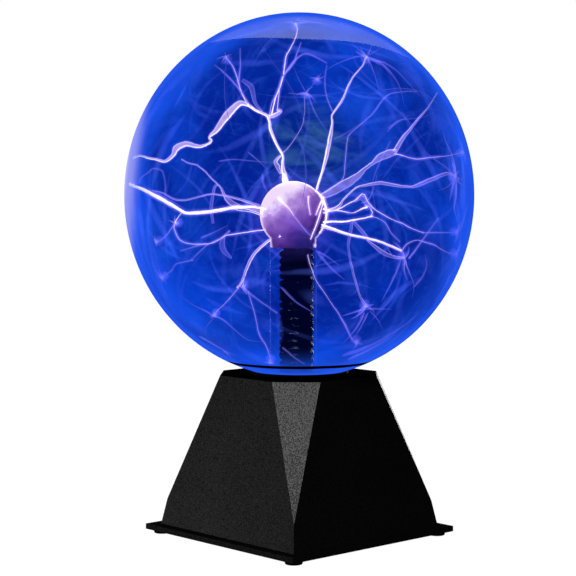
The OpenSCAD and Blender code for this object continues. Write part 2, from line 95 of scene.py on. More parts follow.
def make_studio():
    scene = bpy.context.scene
    scene.view_settings.view_transform = "Standard"
    scene.cycles.transparent_max_bounces = 96
    world = bpy.data.worlds.new("studio")
    scene.world = world
    world.use_nodes = True
    tree = world.node_tree
    seen = tree.nodes.new("ShaderNodeLightPath")
    shade = tree.nodes.new("ShaderNodeMix")
    shade.data_type = "RGBA"
    shade.inputs[6].default_value = (0.006, 0.006, 0.0065, 1)
    shade.inputs[7].default_value = (1, 1, 1, 1)
    tree.links.new(seen.outputs["Is Camera Ray"], shade.inputs[0])
    tree.links.new(shade.outputs[2], tree.nodes["Background"].inputs["Color"])
    make_softbox("softbox_behind", 177, 42, 1.9, (1.45, 2.1), 12, "ELLIPSE")
    make_softbox("softbox_key", -4, 36, 1.7, (0.35, 0.35), 8.5)
    make_softbox("softbox_left", -92, -4, 1.8, (0.5, 0.5), 1.7)
    make_softbox("softbox_edge", -50, 40, 1.7, (0.08, 0.5), 2.4)
    make_softbox("softbox_rear", 161, 2, 1.8, (0.5, 0.5), 4)
    floor_size = 12
    bpy.ops.mesh.primitive_plane_add(size=floor_size, location=(0, 0, 0))
    floor = bpy.context.object
    floor.name = "floor"
    floor.visible_glossy = False
    floor.visible_diffuse = False
    paper = Graph("floor_paper")
    tooth = paper.add("ShaderNodeTexNoise", {"Scale": 60.0, "Detail": 3.0})
    paper.principled({
        "Base Color": (0.1, 0.1, 0.1, 1),
        "Roughness": 0.9,
        "Specular IOR Level": 0.0,
        "Emission Color": (1, 1, 1, 1),
        "Emission Strength": 1.0,
        "Normal": paper.bump(tooth.outputs["Fac"], 0.05, 0.2 * MM),
    })
    floor.data.materials.append(paper.material)


# ---- material building blocks

class Graph:
    """A material and short calls for the nodes that the materials here are made of."""

    def __init__(self, name):
        self.material = bpy.data.materials.new(name)
        self.material.use_nodes = True
        self.tree = self.material.node_tree
        self.tree.nodes.clear()
        self.output = self.add("ShaderNodeOutputMaterial")

    def feed(self, socket, value):
        if isinstance(value, bpy.types.NodeSocket):
            self.tree.links.new(value, socket)
        else:
            socket.default_value = value

    def add(self, kind, inputs=None, **settings):
        node = self.tree.nodes.new(kind)
        for key, value in settings.items():
            setattr(node, key, value)
        for key, value in (inputs or {}).items():
            self.feed(node.inputs[key], value)
        return node

    def place(self):
        return self.add("ShaderNodeTexCoord").outputs["Object"]

    def warmth(self):
        """How hot a discharge is at this point, from 0 to 1."""
        return self.add("ShaderNodeAttribute", attribute_name="warmth").outputs["Fac"]

    def skin(self):
        """1 on a hollow piece's outer skin and 0 on its inner one."""
        return self.add("ShaderNodeAttribute", attribute_name="skin").outputs["Fac"]

    def math(self, operation, a, b=0.0, clamp=False):
        return self.add("ShaderNodeMath", {0: a, 1: b}, operation=operation, use_clamp=clamp).outputs[0]

    def times(self, a, b):
        return self.math("MULTIPLY", a, b)

    def facing(self):
        """0 where a surface faces the viewer and 1 where it is seen edge on."""
        return self.add("ShaderNodeLayerWeight", {"Blend": 0.5}).outputs["Facing"]

    def height(self, at):
        return self.add("ShaderNodeSeparateXYZ", {0: at}).outputs["Z"]

    def between(self, a, b, operation="DISTANCE"):
        """A number made from two vectors."""
        return self.add("ShaderNodeVectorMath", {0: a, 1: b}, operation=operation).outputs["Value"]

    def ramp(self, value, stops, smooth=False):
        """A colour or a grey that follows value through (position, colour or number) stops."""
        node = self.add("ShaderNodeValToRGB", {"Fac": value})
        node.color_ramp.interpolation = "EASE" if smooth else "LINEAR"
        marks = node.color_ramp.elements
        while len(marks) < len(stops):
            marks.new(1)
        for mark, (position, colour) in zip(marks, stops):
            mark.position = position
            mark.color = (*colour, 1) if isinstance(colour, tuple) else (colour,) * 3 + (1,)
        return node.outputs["Color"]

    def blend(self, share, a, b, kind="MIX"):
        """Colours a and b mixed by share."""
        node = self.add("ShaderNodeMix", {0: share}, data_type="RGBA", blend_type=kind)
        self.feed(node.inputs[6], a if isinstance(a, bpy.types.NodeSocket) else (*a, 1))
        self.feed(node.inputs[7], b if isinstance(b, bpy.types.NodeSocket) else (*b, 1))
        return node.outputs[2]

    def noise(self, scale, detail=3.0, rough=0.5, twist=0.0, kind="FBM", at=None):
        inputs = {
            "Vector": at or self.place(),
            "Scale": scale,
            "Detail": detail,
            "Roughness": rough,
            "Distortion": twist,
        }
        return self.add("ShaderNodeTexNoise", inputs, noise_type=kind).outputs["Fac"]

    def cells(self, scale, feature):
        inputs = {"Vector": self.place(), "Scale": scale}
        return self.add("ShaderNodeTexVoronoi", inputs, feature=feature).outputs["Distance"]

    def waves(self, scale, distortion, direction):
        inputs = {"Vector": self.place(), "Scale": scale, "Distortion": distortion}
        return self.add("ShaderNodeTexWave", inputs, bands_direction=direction).outputs["Fac"]

    def bump(self, height, strength, distance):
        inputs = {"Height": height, "Strength": strength, "Distance": distance}
        return self.add("ShaderNodeBump", inputs).outputs["Normal"]

    def mix(self, share, first, second):
        return self.add("ShaderNodeMixShader", {0: share, 1: first, 2: second}).outputs[0]

    def plus(self, first, second):
        return self.add("ShaderNodeAddShader", {0: first, 1: second}).outputs[0]

    def clear(self):
        return self.add("ShaderNodeBsdfTransparent").outputs[0]

    def emission(self, colour, strength):
        return self.add("ShaderNodeEmission", {"Color": colour, "Strength": strength}).outputs[0]

    def principled(self, inputs):
        self.surface(self.add("ShaderNodeBsdfPrincipled", inputs).outputs[0])

    def surface(self, shader):
        self.feed(self.output.inputs["Surface"], shader)


# ---- materials of the base

def grained_plastic(name, shade, rough, grain, depth):
    """Matte moulded plastic with a fine pebbled grain and faint cloudy handling marks, its sheen faded out
    on upward faces as painted shade.
    """
    g = Graph(name)
    pebbles = g.cells(1 / grain, "SMOOTH_F1")
    fine = g.noise(1 / grain, 2.0, 0.5)
    height = g.math("ADD", g.times(pebbles, 0.6), fine)
    marks = g.noise(22.0, 4.0, 0.6)
    tone = g.ramp(marks, [(0.3, tuple(c * 0.86 for c in shade)), (0.7, tuple(c * 1.14 for c in shade))])
    # Painted shade: the sheen fades out on faces that look up, as if they lay in shade.
    face = g.add("ShaderNodeNewGeometry").outputs["True Normal"]
    upward = g.height(face)
    painted_top_shade = g.ramp(upward, [(0.6, 1.0), (0.9, 0.0)])
    gloss = g.times(g.ramp(fine, [(0.38, 0.16), (0.62, 0.9)]), painted_top_shade)
    g.principled({
        "Base Color": tone,
        "Roughness": g.ramp(marks, [(0.25, rough - 0.03), (0.75, rough + 0.04)]),
        "Specular IOR Level": gloss,
        "Normal": g.bump(height, 1.0, depth),
    })
    return g.material


def soft_rubber(name, shade):
    g = Graph(name)
    dust = g.noise(300.0, 4.0, 0.7)
    g.principled({
        "Base Color": g.ramp(dust, [(0.35, shade), (0.8, tuple(c * 1.7 + 0.004 for c in shade))]),
        "Roughness": g.ramp(dust, [(0.3, 0.62), (0.8, 0.85)]),
        "Normal": g.bump(g.noise(1400.0, 2.0), 0.4, 0.03 * MM),
    })
    return g.material


def satin_plastic(name, shade, rough):
    g = Graph(name)
    wear = g.noise(90.0, 5.0, 0.65)
    g.principled({
        "Base Color": g.ramp(wear, [(0.3, shade), (0.75, tuple(c * 1.25 + 0.002 for c in shade))]),
        "Roughness": g.ramp(wear, [(0.3, rough - 0.05), (0.75, rough + 0.09)]),
        "Normal": g.bump(g.noise(2600.0, 2.0), 0.25, 0.012 * MM),
    })
    return g.material


def worked_metal(name, shade, rough):
    """Metal with fine drawn lines, darker in its hollows."""
    g = Graph(name)
    drawn = g.add("ShaderNodeMapping", {"Vector": g.place(), "Scale": (1.0, 1.0, 14.0)}).outputs[0]
    lines = g.noise(420.0, 3.0, 0.6, at=drawn)
    g.principled({
        "Base Color": g.ramp(lines, [(0.3, tuple(c * 0.78 for c in shade)), (0.7, shade)]),
        "Metallic": 1.0,
        "Roughness": g.ramp(lines, [(0.3, rough - 0.06), (0.75, rough + 0.12)]),
        "Normal": g.bump(lines, 0.25, 0.02 * MM),
    })
    return g.material


def enamelled_wire(name, shade, pitch, axis):
    """Fine wire wound side by side along one axis."""
    g = Graph(name)
    wound = g.waves(0.31 / pitch, 0.15, axis)
    g.principled({
        "Base Color": g.ramp(wound, [(0.1, tuple(c * 0.35 for c in shade)), (0.6, shade)]),
        "Metallic": 0.7,
        "Roughness": g.ramp(g.noise(160.0), [(0.3, 0.26), (0.7, 0.4)]),
        "Normal": g.bump(wound, 0.7, pitch / 3),
    })
    return g.material


def board_laminate():
    g = Graph("board_laminate_finish")
    weave = g.waves(220.0, 1.5, "DIAGONAL")
    tracks = g.ramp(g.cells(170.0, "DISTANCE_TO_EDGE"), [(0.05, 1.0), (0.09, 0.0)])
    mask = g.ramp(weave, [(0.2, (0.012, 0.075, 0.03)), (0.8, (0.016, 0.1, 0.04))])
    g.principled({
        "Base Color": g.blend(tracks, mask, (0.05, 0.2, 0.07)),
        "Roughness": g.ramp(weave, [(0.2, 0.28), (0.8, 0.36)]),
        "Normal": g.bump(tracks, 0.4, 0.03 * MM),
    })
    return g.material


def steel_wool():
    g = Graph("steel_wool_finish")
    tangle = g.noise(500.0, 6.0, 0.75, 3.0, "RIDGED_MULTIFRACTAL")
    g.principled({
        "Base Color": g.ramp(tangle, [(0.3, (0.002, 0.002, 0.004)), (0.9, (0.03, 0.03, 0.045))]),
        "Metallic": 0.6,
        "Roughness": g.ramp(tangle, [(0.3, 0.75), (0.9, 0.45)]),
        "Normal": g.bump(tangle, 0.9, 0.3 * MM),
    })
    return g.material


# ---- materials of the globe

def globe_glass(line_low, line_high, glow_patch_at):
    """Clear blown glass with a painted blue glow at its limb, darkening at the very edge, and a painted
    pale glow on the left, with one dark line around it low down.
    """
    g = Graph("globe_glass_finish")
    facing = g.facing()
    shine = g.ramp(facing, [(0.4, 0.0), (0.45, 0.1), (0.8, 0.12), (1.0, 0.05)])
    mirror = g.add("ShaderNodeBsdfGlossy", {"Color": (0.7, 0.78, 1, 1), "Roughness": 0.05}).outputs[0]
    bare = g.mix(shine, g.clear(), mirror)
    # Painted light: the limb glows blue in blotches and turns dark blue right at its edge.
    uneven = g.ramp(g.noise(24.0, 4.0, 0.6), [(0.3, 0.35), (0.7, 1.0)])
    rim_share = g.times(g.ramp(facing, [(0.42, 0.0), (0.78, 0.8)], True), uneven)
    lit_rim = g.mix(rim_share, bare, g.emission((0.018, 0.1, 0.88, 1), 1.0))
    limb_glow_colour = g.blend(uneven, (0.004, 0.06, 0.78), (0.02, 0.11, 0.9))
    painted_dark_limb = g.ramp(facing, [(0.93, 0.0), (0.99, 1.0)])
    limb_light = g.emission(g.blend(painted_dark_limb, limb_glow_colour, (0.002, 0.02, 0.4)), 1.0)
    rim = g.mix(g.ramp(facing, [(0.74, 0.0), (0.82, 1.0)]), lit_rim, limb_light)
    # Painted light: a pale glow on the glass around one spot on the left limb.
    away = g.between(g.place(), glow_patch_at)
    near_glow_patch = g.ramp(away, [(0.01, 1.0), (0.03, 0.45), (0.05, 0.0)], True)
    painted_glow_share = g.times(near_glow_patch, g.ramp(facing, [(0.4, 0.0), (0.7, 0.95)]))
    rim = g.mix(painted_glow_share, rim, g.emission((0.62, 0.6, 1.0, 1), 1.0))
    dark = {"Base Color": (0.0, 0.002, 0.02, 1), "Roughness": 0.2}
    edge = g.add("ShaderNodeBsdfPrincipled", dark).outputs[0]
    height = g.height(g.place())
    wave = g.times(g.math("SUBTRACT", g.noise(30.0), 0.5), 1.2 * MM)
    level = g.math("ADD", height, wave)
    above = g.math("GREATER_THAN", level, line_low)
    below = g.math("LESS_THAN", level, line_high)
    banded = g.mix(g.times(above, below), rim, edge)
    g.surface(g.mix(g.skin(), g.clear(), banded))
    return g.material


def clear_tube(name, edge_glow_colour):
    """Clear glass tube or bulb whose edges carry a painted glow, in streaks."""
    g = Graph(name)
    facing = g.facing()
    shine = g.ramp(facing, [(0.4, 0.0), (1.0, 0.02)])
    mirror = g.add("ShaderNodeBsdfGlossy", {"Color": (0.5, 0.65, 1, 1), "Roughness": 0.08}).outputs[0]
    bare = g.mix(shine, g.clear(), mirror)
    # Painted light: a streaky glow along the edges where the glass is seen side on.
    streaks = g.ramp(g.noise(60.0, 3.0), [(0.3, 0.2), (0.7, 1.0)])
    strength = g.times(g.ramp(facing, [(0.7, 0.0), (0.88, 0.1), (1.0, 0.2)]), streaks)
    lit = g.plus(bare, g.emission((*edge_glow_colour, 1), strength))
    g.surface(g.mix(g.skin(), g.clear(), lit))
    return g.material


def glow_sheet(low, high, swirl_at):
    """The glow on the glass's inner side: a thin haze on the near half and a ground on the far half."""
    g = Graph("discharge_glow")
    at = g.place()
    height = g.height(at)
    rise = g.math("DIVIDE", g.math("SUBTRACT", height, low), high - low, True)
    facing = g.facing()
    middle = g.ramp(rise, [
        (0.0, (0.003, 0.06, 0.68)),
        (0.15, (0.0015, 0.03, 0.46)),
        (0.35, (0.0006, 0.018, 0.31)),
        (0.65, (0.0006, 0.018, 0.32)),
        (0.9, (0.0015, 0.04, 0.5)),
    ])
    outwards = g.ramp(facing, [(0.1, 0.0), (0.25, 0.12), (0.42, 0.5), (0.62, 1.0)])
    ground = g.blend(outwards, middle, (0.003, 0.07, 0.8))
    clouds = g.noise(17.0, 5.0, 0.62, 1.2)
    veil = g.blend(g.ramp(clouds, [(0.48, 0.0), (0.74, 0.6)]), ground, (0.012, 0.1, 0.84))
    hollows = g.ramp(g.noise(11.0, 3.0, 0.5), [(0.42, 0.8), (0.56, 0.0)])
    deep = g.blend(hollows, veil, (0.0004, 0.012, 0.25))
    streaks = g.noise(26.0, 7.0, 0.62, 2.6, "RIDGED_MULTIFRACTAL")
    brushed = g.noise(70.0, 6.0, 0.7, 2.0)
    misty = g.blend(g.ramp(brushed, [(0.5, 0.0), (0.8, 0.3)]), deep, (0.02, 0.12, 0.85))
    wisps = g.blend(g.ramp(streaks, [(0.6, 0.0), (0.98, 0.5)]), misty, (0.1, 0.2, 0.95))
    reach = g.between(at, swirl_at)
    drawn = g.add("ShaderNodeMapping", {"Vector": at, "Scale": (1.0, 1.0, 2.6)}).outputs[0]
    curl = g.noise(24.0, 4.0, 0.55, 1.6, at=drawn)
    near_swirl = g.ramp(reach, [(0.008, 1.0), (0.042, 0.0)], True)
    dimmed = g.blend(g.times(near_swirl, 0.75), wisps, (0.001, 0.02, 0.2))
    swirl = g.times(near_swirl, g.ramp(curl, [(0.42, 0.0), (0.72, 0.7)]))
    far = g.blend(swirl, dimmed, (0.05, 0.16, 0.4))
    ground_side = g.add("ShaderNodeBsdfPrincipled", {
        "Base Color": (0, 0, 0, 1),
        "Roughness": 1.0,
        "Specular IOR Level": 0.0,
        "Emission Color": far,
        "Emission Strength": 1.0,
    }).outputs[0]
    haze_share = g.ramp(clouds, [(0.35, 0.2), (0.75, 1.0)])
    haze = g.emission((0.008, 0.05, 1.0, 1), g.times(haze_share, 0.03))
    near_side = g.plus(g.clear(), haze)
    g.surface(g.mix(g.add("ShaderNodeNewGeometry").outputs["Backfacing"], ground_side, near_side))
    g.material.use_backface_culling = True
    return g.material


def plasma_core():
    """The bright thread of a discharge, by its warmth."""
    g = Graph("plasma_core")
    warmth = g.warmth()
    colour = g.ramp(warmth, [
        (0.0, (0.05, 0.1, 0.8)),
        (0.3, (0.17, 0.2, 1.0)),
        (0.6, (0.5, 0.4, 1.0)),
        (0.85, (0.85, 0.7, 1.0)),
        (1.0, (1.0, 0.94, 1.0)),
    ])
    flicker = g.ramp(g.noise(160.0, 3.0), [(0.3, 0.8), (0.7, 1.05)])
    power = g.math("ADD", g.times(g.math("POWER", warmth, 2.0), 0.75), 0.5)
    g.surface(g.emission(colour, g.times(flicker, power)))
    return g.material


def plasma_halo(name, colour, strength, power):
    """A soft sheath of light that fades out towards its edges."""
    g = Graph(name)
    facing = g.facing()
    depth = g.math("POWER", g.math("SUBTRACT", 1.0, facing), power)
    mottle = g.ramp(g.noise(70.0, 4.0, 0.6), [(0.3, 0.35), (0.75, 1.3)])
    light = g.times(g.times(depth, g.warmth()), g.times(mottle, strength))
    g.surface(g.plus(g.clear(), g.emission((*colour, 1), light)))
    return g.material


def plasma_veil():
    """The thin sheet of light between the two edges of a flat discharge."""
    g = Graph("plasma_veil")
    colour = g.ramp(g.warmth(), [
        (0.0, (0.02, 0.04, 0.2)),
        (0.6, (0.09, 0.07, 0.22)),
        (0.8, (0.2, 0.14, 0.3)),
        (1.0, (0.55, 0.4, 0.45)),
    ])
    streaks = g.ramp(g.noise(130.0, 3.0, 0.5, 0.5), [(0.3, 0.6), (0.7, 1.05)])
    g.surface(g.plus(g.clear(), g.emission(colour, streaks)))
    return g.material


def electrode_coating(centre, radius):
    """The bulb's coating under the discharge, in painted glow: pale towards the upper left, deep purple low
    down, and a painted pale rim at its edges.
    """
    g = Graph("electrode_coating_painted_glow")
    at = g.add("ShaderNodeVectorMath", {0: g.place(), 1: tuple(centre)}, operation="SUBTRACT").outputs[0]
    out = g.add("ShaderNodeVectorMath", {0: at, "Scale": 1 / radius}, operation="SCALE").outputs[0]
    # Painted light: the glow is lighter on the side towards the upper left and deep purple low down.
    painted_light_side = (VIEWER_RIGHT * -0.5 + UP * 0.75 + TOWARDS_VIEWER * 0.1).normalized()
    toward = g.between(out, painted_light_side, "DOT_PRODUCT")
    mottle = g.times(g.math("SUBTRACT", g.noise(120.0, 4.0, 0.6), 0.5), 0.36)
    level = g.math("ADD", g.math("ADD", g.times(toward, 0.4), 0.45), mottle, True)
    colour = g.ramp(level, [
        (0.14, (0.008, 0.005, 0.09)),
        (0.26, (0.045, 0.012, 0.14)),
        (0.37, (0.11, 0.036, 0.25)),
        (0.5, (0.2, 0.085, 0.38)),
        (0.63, (0.42, 0.24, 0.62)),
        (0.74, (0.85, 0.7, 0.95)),
    ])
    # Painted highlight: a pale rim where the coating is seen edge on.
    facing = g.facing()
    painted_rim_mask = g.ramp(facing, [(0.62, 0.0), (0.86, 1.0)], True)
    rim = g.times(painted_rim_mask, g.ramp(level, [(0.1, 0.55), (0.75, 1.0)]))
    g.principled({
        "Base Color": (0.2, 0.14, 0.3, 1),
        "Roughness": 0.35,
        "Emission Color": g.blend(rim, colour, (1.0, 0.78, 0.98)),
        "Emission Strength": 1.0,
        "Normal": g.bump(g.noise(400.0, 4.0), 0.3, 0.05 * MM),
    })
    return g.material


# ---- mesh building blocks

class Shape:
    """Points and faces gathered into one mesh, with a warmth at each point."""

    def __init__(self):
        self.points = []
        self.faces = []
        self.warmths = []

    def tube(self, path, radii, warmths, sides):
        """A round tube along path that closes to a point at both ends."""
        normal = (path[1] - path[0]).orthogonal().normalized()
        first = len(self.points)
        last = len(path) - 1
        for i, centre in enumerate(path):
            along = (path[min(i + 1, last)] - path[max(i - 1, 0)]).normalized()
            normal = (normal - along * normal.dot(along)).normalized()
            across = along.cross(normal)
            for k in range(sides):
                turn = 2 * math.pi * k / sides
                out = normal * math.cos(turn) + across * math.sin(turn)
                self.points.append(centre + out * radii[i])
                self.warmths.append(warmths[i])
        for i in range(last):
            for k in range(sides):
                a = first + i * sides + k
                b = first + i * sides + (k + 1) % sides
                self.faces.append((a, b, b + sides, a + sides))
        for ring, tip, turn in ((0, path[0], -1), (last, path[last], 1)):
            beyond = (tip - path[1 if ring == 0 else last - 1]).normalized() * radii[ring] * 0.8
            self.points.append(tip + beyond)
            self.warmths.append(warmths[ring])
            top = len(self.points) - 1
            for k in range(sides):
                a = first + ring * sides + k
                b = first + ring * sides + (k + 1) % sides
                self.faces.append((a, b, top) if turn > 0 else (b, a, top))

    def strip(self, left, right, warmths):
        """A thin sheet between two edges that run side by side."""
        first = len(self.points)
        for pair in zip(left, right):
            self.points.extend(pair)
        for warmth in warmths:
            self.warmths.extend((warmth, warmth))
        for i in range(len(left) - 1):
            a = first + 2 * i
            self.faces.append((a, a + 1, a + 3, a + 2))

    def piece(self, name, material, slot="globe_glass"):
        mesh = bpy.data.meshes.new(name)
        mesh.from_pydata([tuple(p) for p in self.points], [], self.faces)
        warmth = mesh.attributes.new("warmth", "FLOAT", "POINT")
        warmth.data.foreach_set("value", self.warmths)
        return finish_piece(name, mesh, material)


def finish_piece(name, mesh, material, body="base"):
    """A mesh as a named piece with its material, riding on its body."""
    mesh.polygons.foreach_set("use_smooth", [True] * len(mesh.polygons))
    mesh.materials.clear()
    mesh.materials.append(material)
    mesh.update()
    piece = bpy.data.objects.new(name, mesh)
    bpy.context.scene.collection.objects.link(piece)
    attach(piece, body)
    return piece


def lathe(outer, axis, sides, inner=(), start=0.0, sweep=2 * math.pi):
    """A profile of (radius, height) points turned about an upright axis. Radius 0 is a pole.

    With an inner profile that runs back down, it is a hollow wall with an outer and an inner skin.
    """
    profile = [*outer, *inner]
    mesh = bmesh.new()
    skin = mesh.verts.layers.float.new("skin")
    whole = sweep > 2 * math.pi - 1e-6
    columns = sides if whole else sides + 1
    rings = []
    for radius, height in profile:
        if radius == 0:
            rings.append([mesh.verts.new((axis.x, axis.y, height))] * columns)
            continue
        ring = []
        for k in range(columns):
            t = start + sweep * k / sides
            at = (axis.x + radius * math.cos(t), axis.y + radius * math.sin(t), height)
            ring.append(mesh.verts.new(at))
        rings.append(ring)
    for ring in rings[:len(outer)]:
        for vert in ring:
            vert[skin] = 1.0
    pairs = list(zip(rings, rings[1:]))
    if inner:
        pairs.append((rings[-1], rings[0]))
    for low, high in pairs:
        for k in range(sides):
            n = (k + 1) % columns
            corners = []
            for vert in (low[k], low[n], high[n], high[k]):
                if vert not in corners:
                    corners.append(vert)
            if len(corners) > 2:
                mesh.faces.new(corners)
    data = bpy.data.meshes.new("lathe")
    mesh.to_mesh(data)
    mesh.free()
    return data


def arc(radius, height_radius, centre_z, first, last, steps):
    """Points of an upright ellipse from one angle to another, in degrees above its middle."""
    angles = [math.radians(first + (last - first) * i / steps) for i in range(steps + 1)]
    return [
        (0.0 if abs(math.cos(t)) < 1e-6 else radius * math.cos(t), centre_z + height_radius * math.sin(t))
        for t in angles
    ]


def soften(node, width, material, segments=3, body="base"):
    """A copy of a CAD node with its sharp edges rounded, in place of the node."""
    mesh = bmesh.new()
    mesh.from_mesh(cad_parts[node].data)
    bmesh.ops.remove_doubles(mesh, verts=mesh.verts, dist=1e-6)
    bmesh.ops.dissolve_limit(mesh, angle_limit=math.radians(1), verts=mesh.verts, edges=mesh.edges)
    data = bpy.data.meshes.new(node + "_shape")
    mesh.to_mesh(data)
    mesh.free()
    piece = finish_piece(node + "_shape", data, material, body)
    edges = piece.modifiers.new("edges", "BEVEL")
    edges.width = width
    edges.segments = segments
    edges.limit_method = "ANGLE"
    edges.angle_limit = math.radians(25)
    edges.miter_outer = "MITER_ARC"
    flat = piece.modifiers.new("flat_faces", "WEIGHTED_NORMAL")
    flat.mode = "FACE_AREA"
    flat.weight = 100
    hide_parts(node)


def smooth_path(points, steps):
    """A Catmull-Rom curve through the points."""
    path = []
    last = len(points) - 1
    for i in range(last):
        a, b, c, d = (points[max(0, min(j, last))] for j in (i - 1, i, i + 1, i + 2))
        for k in range(steps):
            t = k / steps
            bend = (a * 2 - b * 5 + c * 4 - d) * t**2 + (b * 3 - a - c * 3 + d) * t**3
            path.append((b * 2 + (c - a) * t + bend) / 2)
    path.append(points[-1])
    return path


# ---- sizes taken from the frame

globe_low, globe_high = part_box("globe")
GLOBE_RISE = 1.042
GLASS = 1.6 * MM
GLOBE_R = (globe_high.x - globe_low.x) / 2
GLOBE_H = GLOBE_R * GLOBE_RISE
GLOBE_AXIS = Vector(((globe_low.x + globe_high.x) / 2, (globe_low.y + globe_high.y) / 2, 0))
GLOBE_Z = globe_high.z - GLOBE_H
GLOBE = GLOBE_AXIS + UP * GLOBE_Z
NECK_R = 22 * MM
LINE_Z = (95.4 * MM, 97.3 * MM)
WALL_GAP = 0.25 * MM
WALL_R = GLOBE_R - GLASS - WALL_GAP
WALL_H = GLOBE_H - GLASS - WALL_GAP

lining_low, lining_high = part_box("electrode_lining")
LINING_R = (lining_high.x - lining_low.x) / 2
BULB = Vector((
    (lining_low.x + lining_high.x) / 2,
    (lining_low.y + lining_high.y) / 2,
    lining_high.z - LINING_R,
))
STEM_GLASS = 1.2 * MM
BULB_R = LINING_R + STEM_GLASS
STEM_R = 12.8 * MM
STEM_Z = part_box("tube_stopper")[1].z - 8 * MM
COATING_GAP = 0.3 * MM
COATING = 1.4 * MM
CORONA = 9 * MM


# ---- globe, glow and electrode

def make_globe():
    outer = arc(GLOBE_R, GLOBE_H, GLOBE_Z, -math.degrees(math.acos(NECK_R / GLOBE_R)), 90, 90)
    inner_r, inner_h = GLOBE_R - GLASS, GLOBE_H - GLASS
    neck_in = NECK_R - GLASS
    inner = arc(inner_r, inner_h, GLOBE_Z, 90, -math.degrees(math.acos(neck_in / inner_r)), 90)
    outer = [(NECK_R, globe_low.z), *outer]
    inner = [*inner, (neck_in, globe_low.z)]
    # The spot on the left limb where the painted pale glow on the glass sits.
    glow_patch_at = GLOBE - VIEWER_RIGHT * (0.93 * GLOBE_R) + UP * (10 * MM)
    finish = globe_glass(*LINE_Z, glow_patch_at)
    globe = finish_piece("globe_glass", lathe(outer, GLOBE_AXIS, 192, inner), finish)
    unseen_by_others(globe)
    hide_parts("globe")


def make_glow():
    """Two half shells on the inside of the glass, whose faces look inward."""
    neck = NECK_R - GLASS - WALL_GAP
    low_angle = -math.degrees(math.acos(neck / WALL_R))
    profile = arc(WALL_R, WALL_H, GLOBE_Z, 90, low_angle, 80)
    profile.append((neck, profile[-1][1] - 3 * MM))
    swirl_at = GLOBE + (VIEWER_RIGHT * 8 + UP * 24 - TOWARDS_VIEWER * 89) * MM
    finish = glow_sheet(GLOBE_Z - GLOBE_H, GLOBE_Z + GLOBE_H, swirl_at)
    for name, start in (("glow_front", VIEW_AZIMUTH + math.pi), ("glow_back", VIEW_AZIMUTH)):
        half = lathe(profile, GLOBE_AXIS, 96, start=start, sweep=math.pi)
        unseen_by_others(finish_piece(name, half, finish))


def bulb_wall(radius, stem_radius, foot_z, thickness):
    """Outer and inner profiles of a ball on a tube."""
    outer = arc(radius, radius, BULB.z, -math.degrees(math.acos(stem_radius / radius)), 90, 48)
    inside, bore = radius - thickness, stem_radius - thickness
    inner = arc(inside, inside, BULB.z, 90, -math.degrees(math.acos(bore / inside)), 48)
    return [(stem_radius, foot_z), *outer], [*inner, (bore, foot_z)]


def make_electrode():
    outer, inner = bulb_wall(BULB_R, STEM_R, STEM_Z, STEM_GLASS)
    finish = clear_tube("stem_glass_finish", (0.12, 0.2, 1.0))
    tube = finish_piece("stem_and_bulb", lathe(outer, BULB, 96, inner), finish)
    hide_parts("electrode_tube")
    outer, inner = bulb_wall(BULB_R - COATING_GAP, STEM_R - COATING_GAP, lining_low.z, COATING)
    coating = electrode_coating(BULB, LINING_R)
    lining = finish_piece("bulb_coating", lathe(outer, BULB, 96, inner), coating)
    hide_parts("electrode_lining")
    corona = plasma_halo("electrode_corona_finish", (0.14, 0.09, 0.9), 0.16, 2.4)
    corona_r = BULB_R + CORONA
    ball = lathe(arc(corona_r, corona_r, BULB.z, -90, 90, 40), BULB, 64)
    warmth = ball.attributes.new("warmth", "FLOAT", "POINT")
    warmth.data.foreach_set("value", [1.0] * len(ball.vertices))
    unseen_by_others(finish_piece("electrode_corona", ball, corona))


def make_wool():
    """Steel wool that fills the contact spring and bulges out between its turns."""
    low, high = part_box("steel_wool")
    spring_low, spring_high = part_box("contact_spring")
    reach = (spring_high.x - spring_low.x) / 2 - 0.8 * MM
    middle = (spring_low + spring_high) / 2
    chance = random.Random(3)
    wool = Shape()
    strands = 150
    for i in range(strands):
        level = low.z + (high.z - low.z) * (i + 0.5) / strands
        turn = chance.uniform(0, 2 * math.pi)
        sweep = chance.uniform(3, 6)
        rise = chance.uniform(-5, 5) * MM
        out = reach * chance.uniform(0.72, 1.0)
        path = []
        for k in range(22):
            t = k / 21
            angle = turn + sweep * t
            radius = out * (1 + 0.05 * math.sin(9 * t + i))
            z = min(max(level + rise * (t - 0.5) + 0.5 * MM * math.sin(5 * t + i), low.z), high.z)
            x = middle.x + radius * math.cos(angle)
            y = middle.y + radius * math.sin(angle)
            path.append(Vector((x, y, z)))
        thick = chance.uniform(0.35, 0.6) * MM
        wool.tube(path, [thick] * len(path), [0] * len(path), 5)
    piece = wool.piece("steel_wool_fibres", steel_wool(), "wool_steel_dark")
    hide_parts("steel_wool")
    bulge = (reach * 0.82, (low.z + high.z) / 2)
    core = [(0, low.z), (reach * 0.8, low.z), bulge, (reach * 0.8, high.z), (0, high.z)]
    finish_piece("steel_wool_core", lathe(core, middle, 32), steel_wool())


# ---- the discharge

# A discharge's route is seen from the viewer's side, in mm right of and above the globe's centre. Its width
# in mm and its warmth are given at its root and at its tip. fan is the width in mm, at each point of the
# route, of a flat sheet between two such threads. star is the reach in mm of its rays on the glass.
Thread = namedtuple("Thread", "width warm route fan star", defaults=((), 0))

# The brightest thread on the left is drawn twice, once as the two edges of a sheet.
LEFT_BOLT = [(-30, -6), (-35, -6), (-40, -7), (-46, -8), (-55, -9), (-62, -9), (-66, -7), (-71, -4),
    (-78, 0), (-86, 4), (-94, 7)]

